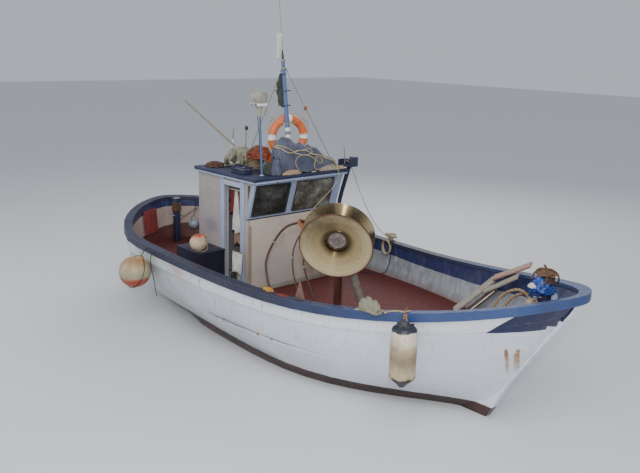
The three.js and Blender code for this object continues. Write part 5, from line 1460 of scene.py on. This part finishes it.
for name, at, halves, look, seed, count, fold in (
        ("bitt_brown_rag", (3.445, -0.010, 1.757), (0.112, 0.105, 0.062), "brown_cloth", 25.0, 46, 0.3),
        ("bitt_blue_cloth", (3.430, -0.085, 1.600), (0.108, 0.098, 0.150), "blue_cloth", 21.0, 46, 0.28),
        # The small white bag stands where the blue cloth shows a white glint, so it is partly painted highlight.
        ("bitt_white_bag", (3.400, -0.170, 1.640), (0.050, 0.034, 0.050), "white_cloth", 23.0, 30, 0.22)):
    crumpled(name, at, halves, look, seed, count, fold)
cream_hank = hank((3.385, -0.118, 1.435), (0.012, 0.052, 0.0), (0.0, 0.0, 0.085), 7, 0.013, 0.06, 10)
piece("bitt_cream_hank", laid(cream_hank, 0.013), "pale_rope")
TIE_AT = Vector((3.385, -0.118, 1.520))
hank_tie = loop(14, 0.006, 7, lambda a: TIE_AT + Vector((0.042 * cos(a), 0.036 * sin(a), 0.006 * sin(2 * a))))
peg = tube([(3.445, -0.045, 1.525), (3.43, -0.08, 1.528), (3.40, -0.13, 1.532)], 0.008, 8)
piece("bitt_peg_and_tie", [hank_tie, peg], "pale_rope")
small_float = turned([(0.012, -0.075), (0.034, -0.066), (0.046, -0.040), (0.048, 0.0), (0.044, 0.036), (0.028, 0.062),
                      (0.012, 0.072), (0.012, 0.088)], (3.475, 0.118, 1.480), (0.06, 0.1, 1), 24)
piece("bitt_float", small_float, "sky")
lanyard = [(3.4800, 0.1265, 1.566), (3.478, 0.115, 1.59), (3.470, 0.085, 1.600), (3.466, 0.070, 1.604)]
piece("bitt_float_lanyard", laid(lanyard, 0.008), "pale_rope")
piece("bitt_pin", tube([(3.445, -0.075, 1.415), (3.445, 0.075, 1.415)], 0.012, 12, straight=True), "galvanised")

# %% [markdown]
# ## Fender, floats and their lines
# The cylindrical fender is blow-moulded vinyl with a ribbed cap and eye at each end; its cap is blue,
# its foot black. The round ones are inflatable vinyl with a moulded stem, ribs running into it and a
# seam. Weed and rust have run over them, so each colour follows the height on its own body; the
# quarter float's brown-orange top is a painted highlight laid the same way.

# %% Fender
BODY_R = 0.1345
profile = [(0.0, 0.0), (0.020, 0.001), (0.034, 0.008), (0.046, 0.026), (0.078, 0.058), (0.110, 0.086), (0.126, 0.102),
           (BODY_R, 0.122), (BODY_R, 0.132), (0.1315, 0.138), (BODY_R, 0.144)]
for k in range(8):
    z = 0.16 + 0.048 * k
    profile += [(BODY_R, z), (BODY_R, z + 0.036), (0.1325, z + 0.042)]
profile += [(BODY_R, 0.548), (0.131, 0.575), (0.1315, 0.590), (0.127, 0.596), (0.127, 0.612), (0.116, 0.630),
            (0.090, 0.650), (0.066, 0.660), (0.052, 0.668), (0.046, 0.676), (0.045, 0.697), (0.038, 0.704),
            (0.0, 0.7045)]
parts = [turned(profile, FENDER_AT, Z, 48)]
for k in range(6):
    a = pi * k / 3
    fin_at = FENDER_AT + Vector((0.068 * cos(a), 0.068 * sin(a), 0.656))
    fin = off(fin_at, (-0.03, -0.004, -0.018), (0.03, 0.004, 0.012))
    parts.append(block(*fin, 0.002, Matrix.Rotation(a, 3, "Z")))
piece("fender_body", parts, "fender", hides=["fender"])
eye_at = FENDER_AT + Vector((0, 0, 0.712))
piece("fender_eye", loop(16, 0.007, 8, lambda a: eye_at + Vector((
    0.022 * cos(a), 0.012 * sin(2 * a) * 0.2, 0.020 * sin(a)))), "galvanised")
rope("fender_lanyard", [eye_at + Vector((0, 0, 0.018)), (2.672, -1.222, 1.365), (2.655, -1.205, 1.392),
                        (2.628, -1.165, 1.404), (2.598, -1.110, 1.402), (2.572, -1.060, 1.392), (2.560, -1.035, 1.365),
                        (2.552, -1.025, 1.320), (2.555, -1.045, 1.26), (2.57, -1.06, 1.225)], 0.014, "mud_rope")
lash = [loop(12, 0.0065, 7, lambda a: eye_at + Vector((
    0.014 * cos(a), 0.016 * sin(a), 0.024 + 0.012 * j + 0.004 * sin(a + j)))) for j in range(3)]
piece("fender_knot", lash, "mud_rope")


# %% Round floats
STEM = ((0.9, -0.012), (0.72, 0.004), (0.62, 0.016), (0.70, 0.024), (0.66, 0.034), (0.3, 0.038))


def buoy(name, at, radius, way, look, hides):
    """An inflatable float: a ball with five ribs that run into a stem towards way. Returns its eye."""
    way = Vector(way).normalized()
    u = way.orthogonal().normalized()
    v = way.cross(u)
    levels, rows = 30, []
    for i in range(levels + 1):
        t = pi * i / levels
        near = max(0.0, (t - 2.1) / (pi - 2.1))
        row = []
        for a in around(48):
            pull = 1 - 0.10 * near * (0.5 + 0.5 * cos(5 * a)) - 0.012 * exp(-((t - 1.57) / 0.03) ** 2)
            place = Vector((cos(a) * sin(t), sin(a) * sin(t), cos(t)))
            r = radius * 0.988 * pull * (1 + 0.012 * noise.noise(place * 1.6 + Vector((radius * 9, 0, 0))))
            row.append(at + (u * cos(a) + v * sin(a)) * r * max(sin(t), 0.02) - way * r * cos(t))
        rows.append(row)
    top = at + way * radius * 0.93
    s = radius * 0.30
    neck = [(s * wide, high) for wide, high in STEM]
    piece(name, [skin(np.array(rows)), turned(neck, top, way, 24)], look, hides=hides)
    return top + way * 0.03


quarter_eye = buoy("quarter_buoy", QUARTER_AT, 0.216, (0.25, 0.30, 0.92), "quarter_vinyl", ["quarter_float"])
locker_eye = buoy("locker_buoy", LOCKER_BUOY_AT, 0.118, (0.5, 0.35, 0.75), "locker_vinyl", ["locker_float"])
stern_eye = buoy("stern_buoy", STERN_BUOY_AT, 0.090, (0.3, -0.5, 0.8), "blue_vinyl", ["stern_float"])
print("floats at", [tuple(round(c, 3) for c in p) for p in (quarter_eye, locker_eye, stern_eye)])
rope("quarter_lanyard", [quarter_eye, (-1.690, -1.640, 1.110), (-1.675, -1.612, 1.165), (-1.668, -1.570, 1.178),
                         (-1.655, -1.500, 1.180), (-1.645, -1.425, 1.172), (-1.640, -1.395, 1.13),
                         (-1.640, -1.385, 1.07), (-1.63, -1.37, 1.00), (-1.61, -1.36, 0.96)], 0.013, "dark_rope")
girdle = loop(40, 0.005, 6, lambda a: QUARTER_AT + Vector((
    cos(a), sin(a) * 0.35, 0.93 * sin(a))).normalized() * 0.2225)
piece("quarter_lashing", girdle, "dark_rope")
rope("locker_buoy_tail", [*off(locker_eye, (0, 0, 0), (0.03, 0.02, 0.01)), (-0.985, -1.085, 1.37),
                          (-0.975, -1.07, 1.30), (-0.972, -1.08, 1.235), (-0.985, -1.12, 1.212),
                          (-1.02, -1.175, 1.2115), (-1.07, -1.21, 1.2115)], 0.010)
stern_tie = [*off(stern_eye, (0, 0, 0), (0.02, -0.03, 0.02)), (-3.545, 0.40, 1.075), (-3.59, 0.455, 1.20),
             (-3.615, 0.475, 1.30)]
piece("stern_buoy_lanyard", laid(stern_tie, 0.009), "dark_rope")

# %% [markdown]
# ## Joinery of the wheelhouse
# Painted boards trim the doorway, rubber channels hold the windows, and a drip strip finishes the roof.
# They are thin boards set on the CAD walls, each with its own rounded edge.

# %% Trim of the house
OUT = -0.7753
BOARDS = {
    # piece: look, then each board's corners and edge radius
    "door_trim": ("sky", [((-1.072, OUT - 0.012, 0.700), (-1.002, OUT, 2.190), 0.003),
                          ((-0.638, OUT - 0.012, 0.700), (-0.552, OUT, 2.190), 0.003),
                          ((-1.072, OUT - 0.014, 2.085), (-0.552, OUT - 0.0125, 2.150), 0.0005)]),
    "door_sill": ("wood_x", [((-1.000, OUT - 0.010, 0.745), (-0.640, OUT + 0.030, 0.789), 0.003)]),
    "roof_drip_strip": ("sky", [((-1.655, -0.822, 2.186), (-0.300, -0.806, 2.2045), 0.003),
                                ((-1.655, 0.806, 2.186), (-0.300, 0.822, 2.2045), 0.003),
                                ((-1.663, -0.815, 2.186), (-1.650, 0.815, 2.2045), 0.003)]),
    "roof_front_strip": ("sky", [((-0.3005, -0.800, 2.178), (-0.2925, 0.800, 2.2045), 0.002)]),
    "front_corner_boards": ("beige", [((-0.4855, -0.772, 0.675), (-0.4775, -0.715, 1.600), 0.002),
                                      ((-0.4855, 0.715, 0.675), (-0.4775, 0.772, 1.600), 0.002),
                                      ((-0.4855, -0.712, 0.675), (-0.4765, 0.712, 0.745), 0.003)]),
}
for name, (look, boards) in BOARDS.items():
    piece(name, [block(*board) for board in boards], look)

# %% Windows and door
LEAN = atan2(150, 524.4)
HINGE = Vector((-0.486, 0, 1.6803))


def on_screen(y, up, out):
    """A point on the leaning windscreen: y, the way up it, and out in front of it."""
    return HINGE + Vector((sin(LEAN) * up + cos(LEAN) * out, y, cos(LEAN) * up - sin(LEAN) * out))


gaskets = []
for y0, y1 in ((-0.723, -0.157), (-0.043, 0.628)):
    corners = [on_screen(y, up, 0.0015) for y, up in ((y0, 0.042), (y1, 0.042), (y1, 0.4736), (y0, 0.4736))]
    path = [a.lerp(b, s) for a, b in zip(corners, corners[1:] + corners[:1]) for s in (0.03, 0.2, 0.4, 0.6, 0.8, 0.97)]
    gaskets.append(tube(path, 0.0055, 8, 0.05, closed=True))
piece("windscreen_gaskets", gaskets, "black")
ARM = ((-0.40, 0.508, 0.004), (-0.40, 0.500, 0.020), (-0.46, 0.36, 0.016), (-0.51, 0.24, 0.0125))
PIVOT, OUTWARD = [(0.013, 0.0), (0.013, 0.010), (0.006, 0.014)], (cos(LEAN), 0, -sin(LEAN))
wiper = [tube([on_screen(*place) for place in ARM], 0.0035, 8, 0.02),
         tube([on_screen(-0.44, 0.12, 0.0085), on_screen(-0.58, 0.37, 0.0085)], 0.0038, 6, straight=True),
         turned(PIVOT, on_screen(-0.40, 0.507, 0.001), OUTWARD, 14)]
piece("windscreen_wiper", wiper, "black_iron")
HANDLE_X, WALL_Y, GRIP_Y = -1.045, -0.7050, -0.6935
handle = [(HANDLE_X, y, z) for y, z in ((WALL_Y, 1.30), (GRIP_Y, 1.31), (GRIP_Y, 1.42), (WALL_Y, 1.43))]
piece("door_handle", tube(handle, 0.005, 8, 0.02), "galvanised", "door")
piece("door_glass", block((-1.342, -0.7225, 1.578), (-1.078, -0.7155, 1.982), 0.001), "glass", "door")
CORNER = ((-0.4935, 1.872), (-0.4935, 2.137), (-0.4285, 2.137))
corner_glass = [skin(np.array([[(x, y + d, z) for x, z in CORNER] for d in (0.0, 0.004)])) for y in (-0.7615, 0.7575)]
piece("corner_glass", corner_glass, "glass", smooth=False)

# %% [markdown]
# ## What hangs in the doorway
# A jacket and cloths hang from a rail just inside the door, with a sack and folded oilskins under them,
# and a white bag hangs outside on pegs. All hang clear of the door's track, so that it slides shut
# between them.

# %% Doorway gear
rail_in = [block((-1.05, -0.690, 2.004), (-0.560, -0.664, 2.030), 0.003)]
rail_in += [block((x, -0.688, 2.0305), (x + 0.022, -0.666, 2.2045), 0.002) for x in (-1.045, -0.587)]
piece("coat_rail", rail_in, "wood_x")
hanging("red_jacket", (-1.040, -0.640, 2.000), (-0.950, -0.640, 2.000), 0.32, "red_cloth", 2.0, 3, 0.016, -0.2)
hanging("pink_blanket", (-0.990, -0.618, 1.990), (-0.780, -0.618, 1.990), 0.76, "pink_cloth", 3.0, 4, 0.014)
hanging("white_overall", (-0.930, -0.655, 1.995), (-0.875, -0.655, 1.995), 0.56, "white_cloth", 5.0, 3, 0.013, -2.3)
hanging("white_bag", (-0.765, -0.812, 1.225), (-0.545, -0.812, 1.225), 0.29, "white_cloth", 9.0, 4, 0.014, 0.1)
HOOK = ((-0.7875, 1.232), (-0.806, 1.232), (-0.822, 1.226), (-0.826, 1.240))
pegs = [tube([(x, y, z) for y, z in HOOK], 0.004, 6, 0.01) for x in (-0.620, -0.560)]
pegs.append(tube([(-0.768, -0.8125, 1.2255), (-0.66, -0.8145, 1.2235), (-0.542, -0.8125, 1.2255)], 0.0045, 8))
piece("bag_pegs", pegs, "galvanised")
hanging("orange_bib", (-0.740, -0.658, 1.998), (-0.655, -0.658, 1.998), 0.22, "orange_cloth", 8.0, 2, 0.014)
crumpled("white_sack", (-0.820, -0.590, 0.395), (0.155, 0.075, 0.71), "white_cloth", 11.0, fold=0.16)
crumpled("green_oilskin", (-1.035, -0.600, 0.395), (0.085, 0.07, 0.44), "green_cloth", 12.0, fold=0.18)

# %% [markdown]
# ## Stern: red cloth, lines and bitt
# A red cloth hangs in the quarter, thin dark lines are slung across, and the bitt carries turns of brown
# rope under its cap. The cloth, the small line and the ends of the long one lie against the bulwark's
# inside, found by searching the hull. A coil lies on the deck, and a line hangs over the rail.

# %% Stern gear
inner = surface(NODES["hull"])


def inside_at(x, y, z, gap):
    """The place inside the bulwark nearest a point, off it by that much."""
    place, normal = inner.find_nearest(Vector((x, y, z)))[:2]
    home = Vector((x * 0.6 - place.x, -place.y, 0))
    return place + (-normal if normal.dot(home) < 0 else normal) * gap


def red_cloth_at(v, u):
    ripple = 0.006 * sin(u * 17 + 2 * v) * (0.3 + 0.7 * v)
    return inside_at(-3.42 - 0.22 * u, -0.56 + 0.36 * u, 1.235 - 0.40 * v, 0.010 + ripple + 0.004)


red = cloth("stern_red_cloth", sheet_of(grid(24, 30, red_cloth_at)), "red_cloth")
size = sum(p.area for p in red.data.polygons)
FESTOON = ((-3.62, 0.10, 1.17, 0.006), (-3.66, 0.16, 1.08, 0.012), (-3.66, 0.25, 1.035, 0.014),
           (-3.63, 0.34, 1.08, 0.012), (-3.58, 0.46, 1.17, 0.006))
rope("stern_festoon", [inside_at(*place) for place in FESTOON], 0.007, "dark_rope")
sling = [inside_at(-3.40, -0.70, 0.86, 0.008), (-3.40, -0.40, 0.90), (-3.44, -0.08, 0.975), (-3.478, -0.062, 0.990),
         (-3.515, -0.03, 0.995), (-3.53, 0.10, 1.01), (-3.54, 0.28, 1.08), inside_at(-3.58, 0.49, 1.16, 0.008)]
rope("stern_sling", sling, 0.009, "dark_rope")

# %% Stern bitt, coil and quarter line
stern_turns = []
rng = np.random.default_rng(12)
for i in range(7):
    for k, a in enumerate(around(14)):
        r = (0.053 + rng.uniform(0, 0.006)) / max(abs(cos(a)), abs(sin(a))) ** 0.7
        stern_turns.append((-3.455 + r * cos(a), r * sin(a), 1.19 + 0.021 * i + 0.019 * k / 14))
piece("stern_bitt_turns", laid(stern_turns, 0.020), "brown_rope")
stern_pin = tube([(-3.455, -0.078, 1.115), (-3.455, 0.078, 1.115)], 0.012, 12, straight=True)
piece("stern_bitt_cap", [block((-3.504, -0.049, 1.4005), (-3.406, 0.049, 1.410), 0.003), stern_pin], "galvanised")
coil = []
for i in range(60):
    a, r = tau * i / 12, 0.155 - 0.012 * (i / 12) + 0.006 * sin(i * 1.3)
    coil.append((-3.12 + r * cos(a), 0.44 + r * sin(a) * 0.9, 0.681 + 0.013 * (i // 24) + 0.003 * sin(i)))
rope("stern_coil", coil, 0.018, "brown_rope")
rope("quarter_line", [(-1.455, -1.480, 1.160), (-1.462, -1.530, 1.172), (-1.470, -1.590, 1.168),
                      (-1.474, -1.628, 1.135), (-1.476, -1.640, 1.07), (-1.478, -1.632, 0.95),
                      (-1.480, -1.60, 0.80), (-1.482, -1.575, 0.66), (-1.484, -1.555, 0.55)], 0.012, "dark_rope")

# %% [markdown]
# ## Gallows and the lines on the port side
# The gallows head holds a roller between two cheeks. A beige line sags from it to a wooden cleat on
# the port rail, where the rest is made up into a hank, and a dark line drops inside the bulwark.

# %% Gallows and port rail
head = [block(*board) for board in (
    ((-0.470, 0.790, 2.276), (-0.452, 0.950, 2.368), 0.004), ((-0.250, 0.790, 2.276), (-0.230, 0.950, 2.410), 0.004),
    ((-0.4515, 0.880, 2.276), (-0.2505, 0.950, 2.3695), 0.005),
    ((-0.4515, 0.790, 2.276), (-0.2505, 0.8795, 2.300), 0.004),
    ((-0.340, 0.884, 2.370), (-0.2505, 0.949, 2.4095), 0.006))]
piece("gallows_cheeks", head, "navy", hides=["gallows_head"])
roller = turned([(0.012, -0.004), (0.030, -0.003), (0.030, 0.012), (0.021, 0.030), (0.019, 0.100), (0.021, 0.170),
                 (0.030, 0.188), (0.030, 0.198), (0.012, 0.199)], (-0.4485, 0.834, 2.336), X, 20)
piece("gallows_roller", roller, "galvanised")
piece("gallows_stick", tube([(-0.350, 0.812, 2.300), (-0.350, 0.800, 2.42), (-0.352, 0.789, 2.54)], 0.007, 8), "wood_z")
cleat_at = Vector((-0.06, 1.512, 1.1705))
horns = off(cleat_at, (-0.125, 0, 0.058), (-0.06, 0, 0.050), (0.06, 0, 0.050), (0.125, 0, 0.058))
cleat = [block(*off(cleat_at, (x, -0.018, -0.004), (x + 0.03, 0.018, 0.040)), 0.004) for x in (-0.045, 0.015)]
cleat.append(tube(horns, lambda part: 0.018 - 0.008 * abs(2 * part - 1) ** 2, 12))
piece("port_cleat", cleat, "wood_x")
turns = []
for i in range(44):
    a = tau * i / 11
    turns += off(cleat_at, (0.088 * sin(a), 0.030 * sin(2 * a), 0.062 + 0.016 * cos(a) + 0.006 * (i // 11)))
piece("port_cleat_turns", laid(turns, 0.014), "pale_rope")
port_hank = hank((-0.06, 1.432, 1.075), (0.075, 0.0, 0.0), (0.0, -0.004, 0.105), 6, 0.014, 0.045, 15)
piece("port_hank", laid(port_hank, 0.014), "pale_rope")
rope("gallows_line", [(-0.350, 0.8340, 2.3590), (-0.345, 0.88, 2.33), (-0.325, 0.965, 2.17), (-0.28, 1.06, 1.90),
                      (-0.22, 1.18, 1.62), (-0.16, 1.32, 1.38), (-0.11, 1.44, 1.245), (-0.075, 1.495, 1.235)],
     0.013)
rope("bulwark_line", [(0.02, 1.53, 1.1800), (0.03, 1.49, 1.182), (0.04, 1.445, 1.172), (0.05, 1.425, 1.13),
                      (0.05, 1.422, 1.04), (0.04, 1.416, 0.93), (0.02, 1.40, 0.80), (-0.02, 1.37, 0.705),
                      (-0.10, 1.33, 0.6785), (-0.22, 1.27, 0.6785), (-0.33, 1.17, 0.6785)], 0.013, "dark_rope")

# %% [markdown]
# ## Rope, rags and fittings by the hauler and on the rail
# The hoses are seized together with rope by the sheave. A grey net bundle and its line lie on the rail
# beside a glove and a rag, and a drilled gusset stands where the thick hose goes down.

# %% Midships gear
core_a, core_b = Vector((0.930, -1.100, 1.970)), Vector((1.010, -1.080, 1.900))
middle, reach = (core_a + core_b) / 2, (core_b - core_a) / 2
way = reach.normalized()
other = Vector((0.86, 0.16, -0.48)).cross(way).normalized()
along = way.cross(other)
seize = []
for i in range(54):
    a = tau * i / 9
    across = way * (reach.length + 0.026) * cos(a) + other * 0.026 * sin(a)
    seize.append(middle + across + along * (0.011 * (i / 9 - 3)))
piece("hose_seizing", laid(seize, 0.012), "mud_rope")
tail = off(middle, (0.0, -0.03, 0.02), (0.01, -0.05, -0.02), (0.02, -0.055, -0.09), (0.01, -0.055, -0.14))
piece("seizing_tail", tube(tail, 0.006, 7), "mud_rope")
crumpled("yellow_glove", (0.720, -1.385, 1.156), (0.095, 0.048, 0.042), "yellow_cloth", 18.0, count=36,
         fold=0.30)
plate = [(1.175, 1.166), (1.335, 1.168), (1.330, 1.22), (1.285, 1.32), (1.262, 1.385), (1.238, 1.388),
         (1.215, 1.30), (1.180, 1.22)]
gusset = [skin(np.array([[(x, y, z) for x, z in plate] for y in (-1.362, -1.354)]))]
gusset += [turned([(0.011, 0.0), (0.011, 0.006), (0.004, 0.008)], (x, -1.3625, z), -Y, 6)
           for x, z in ((1.215, 1.215), (1.290, 1.215), (1.250, 1.27), (1.250, 1.335))]
gusset.append(block((1.165, -1.392, 1.1605), (1.345, -1.3535, 1.1665), 0.002))
piece("rail_gusset", gusset, "pink_iron", smooth=False)

# %% Wrapped leg and gear on the rail
foot, leg_head = Vector((1.580, -0.540, 0.690)), Vector((1.643, -1.1565, 2.021))
sleeve = [foot.lerp(leg_head, s) for s in (0.035, 0.10, 0.20, 0.30, 0.42, 0.55, 0.66, 0.74)]


def sleeve_ring(i, s):
    r = 0.0415 + 0.002 * sin(9 * s * 6.28) + 0.0015 * sin(31 * s)
    return [(r * cos(a), r * sin(a)) for a in around(20)]


piece("leg_wrapping", skin(rings(through(sleeve, 0.02), sleeve_ring)), "wrap_cloth")
crumpled("rail_net_bundle", (2.215, -1.240, 1.292), (0.165, 0.072, 0.145), "net", 14.0, fold=0.26)
crumpled("red_rag", (1.010, -1.400, 1.158), (0.120, 0.045, 0.030), "red_cloth", 16.0, count=34)
ALONG_RAIL = [(2.05, -1.30, 1.31), (2.15, -1.26, 1.33), (2.30, -1.19, 1.34), (2.40, -1.21, 1.35), (2.48, -1.13, 1.36),
              (2.56, -1.14, 1.37), (2.60, -1.06, 1.38)]
rope("rail_rope", rest_on(surface(NODES["rail"]), ALONG_RAIL, 0.010), 0.019, path_step=0.0105)

# %% [markdown]
# ## The blue flash on the bow
# A long arrow of dark blue is painted under the rail towards the stem, with a white notch cut in its
# after end. Paint has a thickness here: a skin 2.5 mm off the planking, found by looking across onto it.

# %% Bow flash
planking = surface(*(NODES[name] for name in ("hull", "sheer_strake", "keel_and_stem")))
AFT_END, FORE_END, PAINT_OFF = 3.23, 3.805, 0.0025
UPPER_EDGE = [3.23, 3.475, 3.60, 3.805], [1.222, 1.436, 1.478, 1.545]
LOWER_EDGE = ([3.23, 3.42, 3.59, 3.612, 3.64, 3.672, 3.70, 3.77, 3.805],
              [1.216, 1.236, 1.252, 1.300, 1.268, 1.345, 1.335, 1.44, 1.50])
for side, name in ((-1, "bow_flash_starboard"), (1, "bow_flash_port")):
    def flash_at(u, v):
        x = AFT_END + (FORE_END - AFT_END) * u
        low, top = np.interp(x, *LOWER_EDGE), np.interp(x, *UPPER_EDGE)
        z = low + (top - low) * v
        hit, normal = planking.ray_cast(Vector((x, side * 2.0, z)), Vector((0, -side, 0)))[:2]
        if hit is None:
            hit, normal = planking.find_nearest(Vector((x, side * 0.05, z)))[:2]
        return hit + (-normal if normal.y * side < 0 else normal) * PAINT_OFF

    verts, faces = sheet_of(grid(110, 44, flash_at))
    piece(name, (verts, [face[::-side] for face in faces]), "gloss_navy")

# %% [markdown]
# ## Lines of the top hamper
# One line is slung between the stays across the mast and carries the lifebuoy, the other sags from the
# roof's front corner to the seizing on the hoses.

# %% Slung lines
rope("stay_line", [(-1.140, 0.028, 3.030), (-1.10, 0.005, 2.985), (-0.95, -0.04, 2.935), (-0.76, -0.05, 2.895),
                   (-0.600, 0.00, 2.880), (-0.575, 0.10, 2.905), (-0.590, 0.22, 2.960), (-0.615, 0.335, 3.020)],
     0.013)
rope("roof_line", [(-0.380, 0.660, 2.262), (-0.318, 0.631, 2.276), (-0.270, 0.600, 2.268), (-0.044, 0.417, 2.218),
                   (0.158, 0.163, 2.164), (0.321, -0.100, 2.113), (0.491, -0.388, 2.064), (0.671, -0.693, 2.013),
                   (0.856, -0.955, 1.990), (0.935, -1.070, 1.975)], 0.010)
ties = []
for spot, lean in ((Vector((-1.142, 0.0285, 3.025)), 0.5), (Vector((-0.6315, 0.339, 3.022)), -0.5)):
    ties += [loop(12, 0.006, 7, lambda a: spot + Vector((
        0.013 * cos(a), 0.013 * sin(a), 0.012 * (j - 1) + 0.006 * sin(a + lean)))) for j in range(3)]
    ties.append(tube(off(spot, (0.01, 0, -0.01), (0.02, -0.01, -0.06), (0.012, -0.012, -0.13)), 0.0055, 7))
piece("stay_line_knots", ties, "pale_rope")

# %% [markdown]
# ## Water level, light and the end
# A pale floor lies at the water's surface, so the boat floats in it to its marks. Soft studio light
# comes from a large panel ahead and above, weaker ones from the side and from behind, an even pale sky,
# and a small flash beside the camera, as the photo was taken with one.

# %% Stage
g = Graph("pale_studio_floor")
shade = g.noise(0.4, 2.0)
FLOOR, SKY, SKY_STRENGTH = 60.0, (0.80, 0.86, 0.95, 1), 0.62
floor_mesh = bpy.data.meshes.new("floor")
floor_mesh.from_pydata([(x * FLOOR, y * FLOOR, 0) for x, y in ((-1, -1), (1, -1), (1, 1), (-1, 1))], [], [(0, 1, 2, 3)])
floor_mesh.materials.append(g.close(g.tint(srgb("#d9dadb"), shade, "#cfd1d3", 0.1), 0.7, shade, 0.0001))
floor = bpy.data.objects.new("floor", floor_mesh)
scene.collection.objects.link(floor)

world = bpy.data.worlds.new("studio")
scene.world = world
world.use_nodes = True
sky = world.node_tree.nodes["Background"].inputs
sky["Color"].default_value = SKY
sky["Strength"].default_value = SKY_STRENGTH
for name, at, size, power in (("key", (7, -6, 9), 7, 690), ("side", (-6, -8, 6), 6, 300), ("back", (-5, 8, 8), 7, 400),
                              ("flash", (7.45, -6.75, 4.45), 0.35, 290)):
    lamp = bpy.data.objects.new(name, bpy.data.lights.new(name, "AREA"))
    lamp.data.size = size
    lamp.data.energy = power
    lamp.location = at
    lamp.rotation_euler = (Z - Vector(at)).to_track_quat("-Z", "Y").to_euler()
    scene.collection.objects.link(lamp)
